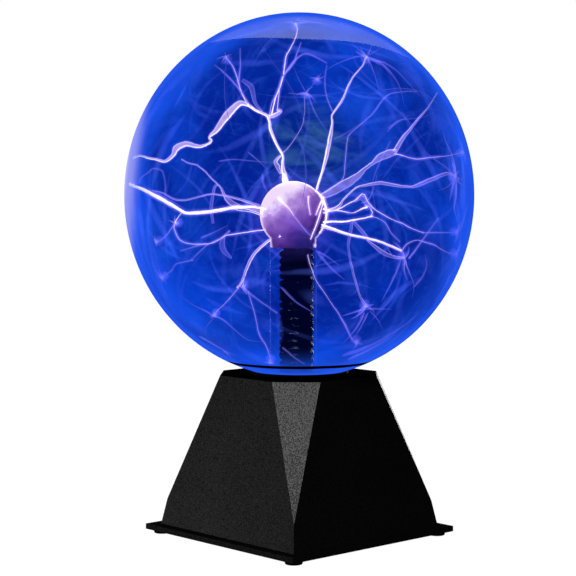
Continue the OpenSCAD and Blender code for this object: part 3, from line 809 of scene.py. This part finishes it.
# Each group starts with its side, from 1 where it bends right out to the glass on the viewer's side to -1
# for the far side.
DISCHARGES = [
    (-0.6, [
        Thread((0.8, 0.7), (1, 0.95), [(-7, 7), (-8, 12), (-9, 17), (-9, 22), (-12, 28), (-15, 35),
            (-16, 40), (-17, 43)], fan=(2.6, 1.9, 1, 0.4, 0.7, 1, 0.8, 0.6)),
        Thread((4.5, 1), (1, 1), [(-7, 6), (-8, 9), (-8, 12)]),
        Thread((0.4, 0.3), (0.9, 0.8), [(-10, 22), (-13, 19), (-12, 16), (-10, 12)],
            fan=(0.5, 1.5, 2.2, 0.6)),
        Thread((0.7, 0.5), (1, 0.9), [(-16, 43), (-20, 45), (-24, 47), (-29, 50), (-33, 50), (-39, 44),
            (-45, 36), (-49, 32), (-48, 30), (-50, 28), (-54, 27), (-59, 28), (-63, 28), (-67, 26),
            (-69, 22), (-73, 19), (-78, 20), (-83, 21), (-87, 22), (-91, 21)], fan=(1, 0.9, 0.8, 1.4, 2.6,
            3.6, 2.2, 0.6, 0.9, 0.6, 1.2, 2, 2.4, 3, 1.4, 1, 0.8, 0.7, 0.7, 1.2)),
        Thread((0.8, 0.4), (0.9, 0.8), [(-16, 43), (-13, 44), (-10, 46), (-12, 47)],
            fan=(1.4, 1.6, 1.2, 0.8)),
        Thread((0.7, 0.5), (0.95, 0.7), [(-15, 44), (-13, 53), (-11, 58), (-9, 64), (-8, 70), (-7, 76),
            (-5, 80), (-2, 86), (-1, 90), (-2, 94)], star=9),
        Thread((0.45, 0.3), (0.8, 0.4), [(-12, 46), (-11, 55), (-10, 62), (-8, 66), (-3, 72), (-1, 78),
            (1, 83)]),
        Thread((0.35, 0.25), (0.7, 0.5), [(-16, 44), (-15, 50), (-12, 56), (-10, 62)]),
        Thread((0.3, 0.2), (0.6, 0.3), [(-8, 66), (-3, 73), (3, 77), (10, 75), (15, 72)]),
        Thread((0.6, 0.35), (0.9, 0.5), [(-22, 46), (-28, 50), (-31, 56), (-33, 62), (-35, 68), (-38, 73),
            (-40, 76)], star=6),
        Thread((0.3, 0.2), (0.6, 0.35), [(-33, 61), (-32, 70), (-32, 80)]),
        Thread((0.4, 0.2), (0.65, 0.35), [(-26, 48), (-31, 56), (-35, 61), (-41, 67), (-46, 71)]),
        Thread((0.25, 0.2), (0.5, 0.35), [(-20, 46), (-24, 51), (-26, 59), (-31, 63)],
            fan=(0.5, 1.6, 2.6, 1.4)),
        Thread((0.35, 0.3), (0.65, 0.4), [(-10, 23), (-7, 25), (-4, 29), (0, 35), (2, 40), (3, 47), (3, 53),
            (4, 56)], star=9),
        Thread((0.3, 0.3), (0.4, 0.35), [(4, 56), (7, 60), (10, 64)], star=5),
    ]),
    (-1, [
        Thread((0.8, 0.4), (1, 0.65), [(10, 4), (12, 11), (15, 22), (17, 32), (18, 40), (18, 44), (23, 51),
            (26, 58), (29, 64), (34, 70), (36, 74), (37, 76)], star=16,
            fan=(0.6, 0.5, 1.4, 1.6, 0.5, 0.4, 0.8, 0.4, 0.4, 0.4, 0.5, 0.6)),
        Thread((0.3, 0.2), (0.5, 0.3), [(18, 46), (15, 54), (14, 62), (15, 71)]),
        Thread((0.35, 0.2), (0.6, 0.4), [(14, 2), (20, 6), (24, 10), (25, 17), (26, 29), (27, 33), (30, 36),
            (36, 41), (41, 46), (46, 53), (51, 56), (64, 57)]),
        Thread((0.2, 0.15), (0.35, 0.25), [(19, 31), (25, 34), (30, 37), (36, 41)]),
    ]),
    (0.8, [
        Thread((0.35, 0.4), (0.8, 0.75), [(11, -1), (19, 3), (26, 7), (32, 11), (36, 15), (40, 18),
            (44, 21), (49, 23), (53, 24)], fan=(2, 4.2, 4.4, 3, 1.4, 1.4, 3.4, 3.8, 2.2)),
        Thread((0.4, 0.3), (0.8, 0.5), [(52, 24), (56, 31), (61, 37), (65, 42), (70, 48), (75, 56)],
            fan=(2, 1.6, 0.9, 0.7, 0.5, 0.4)),
        Thread((0.5, 0.3), (0.8, 0.5), [(52, 23), (56, 22), (64, 20), (72, 21), (81, 22), (90, 24)],
            star=7),
    ]),
    (1, [
        Thread((0.5, 0.3), (0.85, 0.55), [(14, -8), (21, -6), (24, -2), (28, 2), (32, 5), (37, 6), (44, 7),
            (51, 6), (60, 5), (65, 6), (72, 9), (80, 12), (86, 11)], star=14,
            fan=(0.6, 1.4, 0.6, 0.5, 0.5, 1, 1.4, 1.2, 0.7, 1.4, 1.6, 1.4, 0.8)),
        Thread((0.7, 0.35), (0.95, 0.6), [(13, -9), (18, -8), (22, -7), (27, -4), (31, -2), (34, 1),
            (36, 0), (38, -4), (42, -8), (49, -12), (56, -15), (62, -18), (68, -20)]),
        Thread((0.3, 0.2), (0.45, 0.35), [(67, -20), (75, -20), (82, -20), (87, -20)], star=9),
        Thread((0.3, 0.3), (0.6, 0.5), [(30, -3), (34, -1), (37, -4), (40, -7)], fan=(0.6, 2.4, 2.2, 1)),
        Thread((1, 0.5), (1, 0.8), [(13, -7), (17, -8), (22, -8), (27, -9)]),
        Thread((0.5, 0.9), (0.6, 1), [(26, -9), (30, -9), (34, -7), (37, -6)]),
        Thread((0.4, 0.4), (0.8, 0.8), [(36, -5), (38, -6), (40, -9), (39, -11)]),
        Thread((1.2, 0.7), (1, 0.9), [(13, -14), (18, -14), (24, -14), (30, -13), (36, -12), (40, -11)]),
        Thread((0.4, 0.25), (0.65, 0.4), [(39, -11), (43, -12), (47, -15), (50, -20), (55, -25)]),
        Thread((1.1, 0.7), (1, 0.9), [(12, -16), (18, -18), (27, -21), (36, -23), (44, -25), (49, -27),
            (56, -30)], fan=(1.4, 0.9, 0.6, 0.5, 0.5, 0.6, 0.7)),
        Thread((0.3, 0.3), (0.65, 0.6), [(37, -24), (42, -28), (46, -31), (51, -33), (58, -34)], star=14,
            fan=(0.4, 1.6, 2, 1.4, 0.8)),
        Thread((0.35, 0.25), (0.65, 0.45), [(56, -30), (59, -26), (64, -24), (68, -25), (74, -27),
            (81, -31), (87, -32)], star=8),
        Thread((0.3, 0.2), (0.55, 0.35), [(60, -34), (65, -27), (70, -20), (76, -12)]),
        Thread((0.25, 0.2), (0.45, 0.35), [(29, -13), (28, -20), (27, -27), (28, -36)],
            fan=(1, 1.4, 1, 0.8)),
        Thread((0.3, 0.25), (0.5, 0.5), [(28, -36), (30, -44), (33, -54), (37, -61)], star=10,
            fan=(0.9, 0.9, 0.7, 1.4)),
        Thread((0.3, 0.3), (0.45, 0.5), [(29, -13), (33, -18), (38, -24)], fan=(0.8, 1.6, 1.2)),
        Thread((0.35, 0.3), (0.9, 0.9), [(-19, -8), (-24, -7), *LEFT_BOLT],
            fan=(4.4, 3, 1.8, 1.7, 1.5, 1.5, 1.6, 1.2, 1, 1.4, 1.6, 1.4, 1.4)),
        Thread((1.2, 1.3), (1, 1), [(-18, -7), (-24, -6), *LEFT_BOLT]),
        Thread((0.5, 0.3), (0.9, 0.8), [(-19, -11), (-25, -9), (-31, -8), (-37, -7)]),
        Thread((0.5, 0.25), (0.75, 0.4), [(-20, -6), (-26, -4), (-32, -2), (-40, 0), (-47, 1), (-53, 0),
            (-61, -2), (-67, -2), (-71, 0), (-75, 2), (-80, 3)],
            fan=(1.4, 0.9, 0.8, 0.6, 0.5, 0.5, 0.6, 0.7, 0.5, 0.4, 0.4)),
        Thread((0.35, 0.3), (0.75, 0.55), [(-33, -6), (-38, -3), (-41, 1), (-43, 5), (-45, 7), (-48, 10),
            (-52, 14), (-56, 17), (-60, 18), (-64, 20)],
            fan=(2.6, 2.4, 1, 0.5, 0.4, 0.4, 0.4, 0.4, 0.5, 0.4)),
        Thread((0.25, 0.2), (0.6, 0.3), [(-44, 6), (-46, 5), (-47, 0), (-48, -6), (-47, -15)],
            fan=(0.4, 1, 1.2, 1.4, 1.2)),
        Thread((0.6, 0.35), (0.85, 0.6), [(-18, -18), (-24, -19), (-30, -20), (-37, -21), (-41, -22),
            (-46, -25), (-51, -26), (-59, -26), (-65, -24), (-68, -18), (-68, -15)]),
        Thread((0.3, 0.2), (0.6, 0.35), [(-38, -19), (-43, -23), (-49, -26), (-53, -29), (-59, -35)]),
        Thread((0.3, 0.2), (0.5, 0.3), [(-51, -26), (-59, -28), (-65, -30)]),
        Thread((0.3, 0.2), (0.4, 0.35), [(-58, -35), (-67, -37), (-70, -41), (-76, -45)], star=5),
        Thread((0.2, 0.2), (0.4, 0.3), [(-41, -22), (-42, -26), (-41, -30), (-37, -34)],
            fan=(0.6, 2.6, 2.6, 0.8)),
        Thread((0.45, 0.4), (0.95, 0.75), [(-10, -21), (-16, -24), (-22, -29), (-26, -34), (-29, -40),
            (-31, -46), (-34, -50)], fan=(0.8, 1, 1.1, 1.2, 1.1, 0.8, 0.5)),
        Thread((0.35, 0.3), (0.6, 0.55), [(-33, -50), (-39, -57), (-44, -62), (-47, -66)], star=8),
        Thread((0.3, 0.3), (0.5, 0.6), [(-29, -40), (-30, -45), (-31, -50)], star=5),
        Thread((0.3, 0.2), (0.5, 0.35), [(-30, -50), (-26, -54), (-22, -57), (-12, -64)]),
        Thread((0.3, 0.3), (0.45, 0.55), [(-28, -52), (-24, -65), (-22, -75), (-18, -82), (-16, -88),
            (-16, -92)], star=4),
        Thread((0.25, 0.2), (0.4, 0.3), [(-9, -83), (-3, -88), (3, -92)]),
        Thread((0.45, 0.25), (0.75, 0.45), [(7, -26), (5, -32), (7, -40), (10, -47), (16, -56), (21, -63),
            (25, -70), (29, -78), (32, -81)], star=6),
        Thread((0.5, 0.5), (0.7, 0.9), [(-64, -9), (-67, -13), (-68, -15)], star=5),
        Thread((0.25, 0.2), (0.5, 0.4), [(-68, -15), (-70, -18), (-73, -22), (-77, -25), (-79, -25)],
            star=5),
        Thread((0.25, 0.2), (0.4, 0.3), [(-87, 7), (-86, 10), (-82, 13), (-79, 15), (-75, 14), (-74, 12),
            (-73, 6), (-73, 1)]),
    ]),
]

# Soft rays on the inside of the glass, in groups by side: half width in mm, warmth and route.
WALL_RAYS = [
    (-0.6, [
        (0.8, 0.9, [(-2, 94), (3, 93), (9, 92), (15, 91), (21, 90)]),
    ]),
    (-1, [
        (0.7, 0.6, [(37, 76), (32, 76), (23, 73), (17, 70), (13, 67)]),
        (0.8, 0.6, [(37, 76), (40, 69), (42, 63), (44, 54)]),
        (1.1, 0.7, [(37, 76), (45, 72), (51, 66), (55, 59), (57, 50)]),
        (0.8, 0.5, [(40, 75), (51, 70), (60, 61), (66, 54)]),
        (0.7, 0.6, [(37, 76), (42, 79), (47, 81)]),
        (0.6, 0.5, [(37, 76), (32, 80), (27, 84)]),
        (0.9, 0.5, [(5, 55), (8, 47), (12, 40), (17, 33)]),
        (0.6, 0.4, [(-6, 56), (4, 55), (12, 55), (21, 53)]),
        (0.6, 0.4, [(4, 56), (0, 63), (-3, 70)]),
    ]),
    (1, [
        (0.9, 0.8, [(86, 11), (85, 17), (83, 24), (80, 30), (78, 38)]),
        (0.8, 0.6, [(85, 11), (80, 16), (74, 20), (68, 25)]),
        (0.8, 0.6, [(85, 9), (81, 5), (76, 3)]),
        (0.8, 0.7, [(86, 9), (86, 0), (85, -7), (87, -14), (88, -20)]),
        (0.8, 0.5, [(88, -20), (91, -10), (93, 0)]),
        (0.7, 0.6, [(87, -32), (85, -41), (80, -51), (75, -58), (68, -64)]),
        (0.7, 0.5, [(87, -32), (88, -26), (88, -20)]),
        (0.9, 0.8, [(58, -34), (59, -38), (61, -43), (63, -49), (62, -56)]),
        (0.9, 0.6, [(63, -50), (68, -44), (70, -38), (69, -32)]),
        (1, 0.6, [(56, -35), (53, -43), (49, -51), (45, -58)]),
        (0.8, 0.7, [(37, -62), (30, -64), (23, -66)]),
        (0.8, 0.6, [(37, -62), (44, -62), (51, -62)]),
        (1, 0.7, [(36, -64), (32, -72), (24, -81)]),
        (0.8, 0.6, [(38, -64), (34, -72), (29, -80)]),
        (0.8, 0.5, [(39, -63), (44, -69), (46, -74)]),
        (0.7, 0.6, [(-47, -66), (-42, -68), (-36, -73), (-28, -79), (-17, -80)]),
        (0.7, 0.5, [(-47, -66), (-52, -63), (-58, -60), (-66, -54)]),
        (0.7, 0.5, [(-47, -67), (-51, -72), (-52, -77)]),
        (0.7, 1, [(-55, -77), (-48, -81), (-41, -85), (-34, -88)]),
        (0.6, 0.9, [(-42, -85), (-38, -88), (-35, -90)]),
        (0.9, 0.8, [(27, -90), (36, -86), (45, -81), (54, -75)]),
        (1.2, 0.6, [(24, -88), (34, -85), (46, -79), (58, -71), (66, -64)]),
        (1, 0.5, [(-10, -50), (-2, -58), (8, -64)]),
        (1.2, 0.5, [(10, -31), (18, -40), (25, -46)]),
        (0.9, 0.5, [(9, -30), (15, -33), (22, -38)]),
        (1, 0.6, [(-54, -23), (-47, -20), (-39, -16)]),
    ]),
    (-1, [
        (1, 0.5, [(48, 35), (54, 41), (60, 42), (68, 43), (74, 46)]),
        (1.6, 0.6, [(49, 37), (53, 40), (57, 42), (60, 44)]),
        (1, 0.5, [(-44, 19), (-36, 20), (-24, 19), (-12, 18)]),
        (1.4, 0.5, [(-20, 12), (-20, 8), (-18, 3), (-16, 0)]),
        (0.8, 0.5, [(-28, 24), (-22, 19), (-17, 14)]),
        (0.8, 0.6, [(34, -4), (38, -2), (41, 5), (43, 14)]),
        (1, 0.4, [(50, 30), (44, 18), (40, 6), (42, -8)]),
    ]),
]


def inside_share(point):
    """How far out a point is, where 1 is on the inside of the glass."""
    offset = point - GLOBE
    return math.sqrt((offset.x**2 + offset.y**2) / WALL_R**2 + offset.z**2 / WALL_H**2)


def on_wall(point, inset=0.0):
    """The point moved along its line from the globe's centre onto the inside of the glass."""
    return GLOBE + (point - GLOBE) * ((1 - inset / WALL_R) / inside_share(point))


def keep_inside(point, inset):
    return on_wall(point, inset) if inside_share(point) > 1 - inset / WALL_R else point


def wall_normal(point):
    offset = point - GLOBE
    return Vector((offset.x / WALL_R**2, offset.y / WALL_R**2, offset.z / WALL_H**2)).normalized()


def in_space(route, side, swings=True, lands=False):
    """A flat route laid out along the lines of sight, bending from the bulb towards the glass.

    swings is False for a route that lies on the glass, and lands is True for one that ends there.
    """
    points = []
    for i, (u, v) in enumerate(route):
        flat = VIEWER_RIGHT * (u * MM) + UP * (v * MM)
        sight = (EYE - GLOBE - flat) / CAMERA_DISTANCE
        depth = 0.0
        for _ in range(6):
            offset = flat + sight * math.copysign(depth, side)
            across = offset.dot(VIEWER_RIGHT)
            room = 1 - (across / WALL_R) ** 2 - (offset.z / WALL_H) ** 2
            depth = math.sqrt(max(room, 0)) * WALL_R
        swing = 1.0
        if swings:
            reach = ((GLOBE + flat - BULB).length - 0.8 * BULB_R) / (WALL_R - BULB_R)
            swing = min(max(reach, 0), 1) ** 1.4
        share = side * swing
        if lands:
            share += (math.copysign(1, side) - share) * (i / (len(route) - 1)) ** 2
        points.append(GLOBE + flat + sight * (share * depth))
    return points


def root_on_bulb(points, side):
    """Starts a route on the bulb's surface if it begins over the bulb."""
    start = points[0] - BULB
    flat = start - TOWARDS_VIEWER * start.dot(TOWARDS_VIEWER)
    if flat.length > 1.05 * BULB_R:
        return
    lift = math.copysign(math.sqrt(max(BULB_R**2 - flat.length_squared, 0)), side)
    points[0] = BULB + (flat + TOWARDS_VIEWER * lift).normalized() * (BULB_R + 0.3 * MM)


def along(values, steps):
    """Values at the points of a route, spread over the steps of its smooth path."""
    spread = []
    for a, b in zip(values, values[1:]):
        spread.extend(a + (b - a) * k / steps for k in range(steps))
    return [*spread, values[-1]]


def ramped(ends, count):
    return [ends[0] + (ends[1] - ends[0]) * i / (count - 1) for i in range(count)]


def wander(path, chance, reach):
    """Small seeded kinks that fade out at the path's ends."""
    moved = []
    drift = Vector((0, 0, 0))
    for i, point in enumerate(path):
        drift = drift * 0.8 + Vector([chance.uniform(-1, 1) for _ in range(3)]) * reach
        moved.append(point + drift * min(1, i / 4, (len(path) - 1 - i) / 4))
    return moved


def add_thread(cores, halos, path, width, warm, chance, glow):
    radii = [w * MM / 2 * chance.uniform(0.85, 1.15) for w in ramped(width, len(path))]
    warmth = ramped(warm, len(path))
    cores.tube([keep_inside(p, r + 0.1 * MM) for p, r in zip(path, radii)], radii, warmth, 6)
    sheath = [r * 1.8 + glow * MM * (0.4 + h) for r, h in zip(radii, warmth)]
    halos.tube([keep_inside(p, r + 0.05 * MM) for p, r in zip(path, sheath)], sheath, warmth, 12)


def add_ray(cores, halos, path, size, warm, chance):
    """A soft streak on the inside of the glass, pointed at its far end."""
    count = len(path)
    swell = [min(1, 0.5 + 3 * i / count) * (1 - i / count) ** 0.7 + 0.04 for i in range(count)]
    sizes = [size * MM * f * chance.uniform(0.85, 1.15) for f in swell]
    glow = [min(1.3 * warm * f, 1) for f in swell]
    halos.tube([on_wall(p, r + 0.05 * MM) for p, r in zip(path, sizes)], sizes, glow, 10)
    thin = [0.16 * MM * f + 0.02 * MM for f in swell]
    cores.tube([on_wall(p, 0.3 * MM) for p in path], thin, [warm * 0.65 * f for f in swell], 5)


def add_star(cores, halos, point, chance, size, warm):
    """Rays that creep over the glass from where a discharge meets it."""
    normal = wall_normal(point)
    side = normal.orthogonal().normalized()
    other = normal.cross(side)
    count = chance.randint(5, 7)
    for i in range(count):
        turn = 2 * math.pi * (i + chance.uniform(-0.4, 0.4)) / count
        bend = chance.uniform(-0.8, 0.8)
        length = size * MM * chance.uniform(0.4, 1.2)
        ray = []
        for k in range(9):
            t = k / 8
            way = side * math.cos(turn + bend * t) + other * math.sin(turn + bend * t)
            ray.append(on_wall(point + way * (length * t)))
        add_ray(cores, halos, ray, 0.6 + 0.04 * size, warm, chance)
    for reach, share in ((0.6, 1.2), (1.4, 0.9), (2.8, 0.6)):
        wide = reach * MM
        glow = [on_wall(point + side * (wide * t), wide + 0.1 * MM) for t in (-1, -0.6, 0, 0.6, 1)]
        halos.tube(glow, [wide * f for f in (0.4, 0.85, 1, 0.85, 0.4)], [warm * share * 1.4] * 5, 14)


def add_creepers(halos, cores, chance, count, length, width, warmth, core_share):
    """Faint curved streaks over the inside of the glass."""
    for _ in range(count):
        height = chance.uniform(-0.93, 0.97)
        turn = chance.uniform(0, 2 * math.pi)
        ring = math.sqrt(1 - height**2)
        point = on_wall(GLOBE + Vector((ring * math.cos(turn), ring * math.sin(turn), height)) * 0.05)
        heading = chance.uniform(0, 2 * math.pi)
        curl = chance.uniform(-1.5, 1.5)
        reach = chance.uniform(*length) * MM
        steps = 14
        path = [point]
        for _ in range(steps):
            normal = wall_normal(point)
            side = (UP - normal * UP.dot(normal)).normalized()
            way = side * math.cos(heading) + normal.cross(side) * math.sin(heading)
            point = on_wall(point + way * (reach / steps))
            heading += curl / steps + chance.uniform(-0.12, 0.12)
            path.append(point)
        wide = chance.uniform(*width) * MM
        warm = chance.uniform(*warmth)
        bulge = [math.sin(math.pi * (0.06 + 0.88 * k / steps)) for k in range(steps + 1)]
        lie = [on_wall(p, wide * b + 0.05 * MM) for p, b in zip(path, bulge)]
        halos.tube(lie, [wide * b for b in bulge], [warm * b for b in bulge], 10)
        if chance.random() < core_share:
            thin = [0.13 * MM * b + 0.02 * MM for b in bulge]
            cores.tube([on_wall(p, 0.4 * MM) for p in path], thin, [warm * 0.6 * b for b in bulge], 5)


def add_discharge(shapes, side, thread, chance):
    threads, sheaths, veils, stars, star_glow = shapes
    steps = 6
    points = in_space(thread.route, side, lands=thread.star > 0)
    root_on_bulb(points, side)
    if thread.star:
        points[-1] = on_wall(points[-1], 0.3 * MM)
    path = wander(smooth_path(points, steps), chance, 0.1 * MM)
    width, warm = thread.width, thread.warm
    if thread.fan:
        spread = along(thread.fan, steps)
        edges = ([], [])
        for i, point in enumerate(path):
            way = path[min(i + 1, len(path) - 1)] - path[max(i - 1, 0)]
            across = TOWARDS_VIEWER.cross(way).normalized() * (spread[i] * MM / 2)
            edges[0].append(keep_inside(point + across, 0.5 * MM))
            edges[1].append(keep_inside(point - across, 0.5 * MM))
        veils.strip(*edges, ramped(warm, len(path)))
        faded = (warm[0] * 0.8, warm[1] * 0.8)
        add_thread(threads, sheaths, edges[0], width, warm, chance, 0.5)
        add_thread(threads, sheaths, edges[1], (width[0] * 0.7, width[1] * 0.7), faded, chance, 0.5)
    else:
        add_thread(threads, sheaths, path, width, warm, chance, 0.9)
    if thread.star:
        add_star(stars, star_glow, points[-1], chance, thread.star, min(1, warm[1] + 0.3))


def unseen_by_others(piece):
    """Keeps the discharge's light on itself, so that the housing stays black."""
    piece.visible_diffuse = False
    piece.visible_glossy = False


def make_discharge():
    chance = random.Random(11)
    shapes = [Shape() for _ in range(5)]
    threads, sheaths, veils, stars, star_glow = shapes
    for side, group in DISCHARGES:
        for thread in group:
            add_discharge(shapes, side, thread, chance)
    for side, group in WALL_RAYS:
        for size, warm, route in group:
            path = [on_wall(p) for p in smooth_path(in_space(route, side, False), 5)]
            add_ray(stars, star_glow, path, size, warm, chance)
    wisps, faint = Shape(), Shape()
    add_creepers(wisps, faint, chance, 190, (20, 80), (0.8, 2.6), (0.12, 0.5), 0.06)
    add_creepers(wisps, faint, chance, 40, (14, 46), (3.0, 7.0), (0.1, 0.26), 0.0)
    core = plasma_core()
    halo = plasma_halo("plasma_halo", (0.17, 0.15, 1.0), 0.4, 2.4)
    mist = plasma_halo("plasma_mist", (0.1, 0.17, 1.0), 0.3, 2.6)
    pieces = [
        threads.piece("discharge_threads", core),
        sheaths.piece("discharge_halos", halo),
        veils.piece("discharge_veils", plasma_veil()),
        stars.piece("contact_stars", core),
        star_glow.piece("contact_glow", halo),
        wisps.piece("wall_wisps", mist),
        faint.piece("wall_threads", core),
    ]
    for piece in pieces:
        unseen_by_others(piece)


# Streaks over the front of the bulb, from left to right
BULB_STREAKS = [
    Thread((1.6, 0.4), (1, 0.7), [(-11, -1), (-8, -4), (-5, -7), (-3, -10)]),
    Thread((0.3, 0.2), (0.6, 0.4), [(-3, -10), (0, -14), (4, -19), (7, -22)]),
    Thread((1, 0.5), (0.9, 0.7), [(5, 0), (5, -4), (6, -10)]),
    Thread((1.5, 0.5), (1, 0.8), [(13, -1), (11, -5), (9, -10)]),
    Thread((0.9, 0.7), (1, 0.9), [(9, 3), (12, 0), (14, -4), (15, -9), (14, -15), (11, -20)]),
    Thread((0.7, 0.6), (0.95, 0.8), [(13, -3), (11, -10), (9, -16), (7, -21), (6, -25), (9, -27)]),
    Thread((0.5, 0.3), (0.9, 0.6), [(-16, -9), (-15, -9), (-14, -10)]),
]


def make_bulb_streaks():
    chance = random.Random(5)
    cores, halos = Shape(), Shape()
    for streak in BULB_STREAKS:
        points = []
        for u, v in streak.route:
            at = GLOBE + VIEWER_RIGHT * (u * MM) + UP * (v * MM) - BULB
            flat = at - TOWARDS_VIEWER * at.dot(TOWARDS_VIEWER)
            lift = math.sqrt(max(BULB_R**2 - flat.length_squared, (0.3 * BULB_R) ** 2))
            points.append(BULB + flat + TOWARDS_VIEWER * lift)
        add_thread(cores, halos, smooth_path(points, 6), streak.width, streak.warm, chance, 0.7)
    unseen_by_others(cores.piece("bulb_streaks", plasma_core()))
    glow = plasma_halo("bulb_streak_halo", (0.4, 0.25, 0.8), 0.5, 2.0)
    unseen_by_others(halos.piece("bulb_streak_glow", glow))


# ---- the CAD nodes' own finishes

# Finishes of the nodes inside the base: name, colour, roughness and the nodes that have it
METALS = [
    ("black_screw", (0.06, 0.06, 0.065), 0.35, ["plate_screws"]),
    ("steel_bright", (0.56, 0.57, 0.6), 0.3,
        ["contact_plunger", "board_screws", "transistor_screw", "dc_jack_nut"]),
    ("spring_steel", (0.035, 0.04, 0.07), 0.42, ["contact_spring"]),
    ("brass", (0.72, 0.52, 0.22), 0.28, ["spring_cup", "dc_jack_contact", "switch_terminals"]),
    ("sink_aluminium", (0.7, 0.71, 0.73), 0.35, ["heat_sink"]),
    ("microphone", (0.62, 0.63, 0.66), 0.3, ["microphone"]),
]
PLASTICS = [
    ("bobbin_plastic", (0.02, 0.02, 0.02), 0.45, ["primary_bobbin", "secondary_bobbin"]),
    ("chip_plastic", (0.015, 0.015, 0.016), 0.5, ["power_transistor", "driver_chip"]),
    ("capacitor_sleeve", (0.01, 0.015, 0.1), 0.25, ["main_capacitor", "small_capacitors"]),
    ("film_capacitor", (0.4, 0.16, 0.02), 0.25, ["film_capacitor"]),
    ("resistor_enamel", (0.55, 0.36, 0.18), 0.3, ["resistors"]),
    ("connector_nylon", (0.7, 0.68, 0.6), 0.45, ["board_connectors"]),
    ("lead_red", (0.4, 0.012, 0.01), 0.4, ["high_voltage_lead", "dc_leads"]),
    ("lead_black", (0.012, 0.012, 0.012), 0.4, ["switch_leads"]),
    ("lead_yellow", (0.62, 0.4, 0.02), 0.4, ["microphone_leads"]),
]


def paint(node, finish):
    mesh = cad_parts[node].data
    mesh.materials.clear()
    mesh.materials.append(finish)


def finish_outside():
    """Rounded copies, with their finishes, of the moulded nodes that show from outside."""
    housing = (0.0058, 0.0046, 0.0058)
    plate = (0.006, 0.0055, 0.0064)
    grain = 0.62 * MM
    shell = grained_plastic("housing_plastic_finish", housing, 0.42, grain, 0.1 * MM)
    soften("base_shell", 0.7 * MM, shell)
    tray = grained_plastic("plate_plastic_finish", plate, 0.42, grain, 0.07 * MM)
    soften("base_plate", 0.35 * MM, tray, 2)
    foot = soft_rubber("foot_rubber_finish", (0.010, 0.010, 0.011))
    for i in range(1, 5):
        soften(f"rubber_foot_{i}", 0.3 * MM, foot, 2)
    gasket = soft_rubber("gasket_rubber_finish", (0.004, 0.004, 0.005))
    soften("globe_gasket", 0.3 * MM, gasket, 2)
    paint("microphone_boot", gasket)
    switch = satin_plastic("switch_plastic_finish", (0.014, 0.014, 0.015), 0.35)
    soften("switch_housing", 0.4 * MM, switch)
    rocker = satin_plastic("rocker_plastic_finish", (0.018, 0.018, 0.019), 0.3)
    soften("rocker", 0.35 * MM, rocker, body="rocker")
    jack = satin_plastic("jack_plastic_finish", (0.012, 0.012, 0.013), 0.25)
    soften("dc_jack_body", 0.3 * MM, jack)


def finish_inside():
    """Finishes for the nodes that stay as they are."""
    for make, group in ((worked_metal, METALS), (satin_plastic, PLASTICS)):
        for name, shade, rough, nodes in group:
            finish = make(name + "_finish", shade, rough)
            for node in nodes:
                paint(node, finish)
    paint("neck_seal", soft_rubber("neck_silicone_finish", (0.55, 0.55, 0.53)))
    paint("tube_stopper", soft_rubber("stopper_rubber_finish", (0.04, 0.04, 0.045)))
    paint("circuit_board", board_laminate())
    ferrite = grained_plastic("ferrite_finish", (0.045, 0.045, 0.05), 0.55, 0.5 * MM, 0.03 * MM)
    paint("transformer_core", ferrite)
    fine_wire = enamelled_wire("secondary_wire_finish", (0.55, 0.2, 0.06), 0.25 * MM, "X")
    paint("secondary_winding", fine_wire)
    thick_wire = enamelled_wire("primary_wire_finish", (0.7, 0.3, 0.1), 0.8 * MM, "X")
    paint("primary_winding", thick_wire)


make_camera()
make_studio()
make_globe()
make_glow()
make_electrode()
make_wool()
make_discharge()
make_bulb_streaks()
finish_outside()
finish_inside()
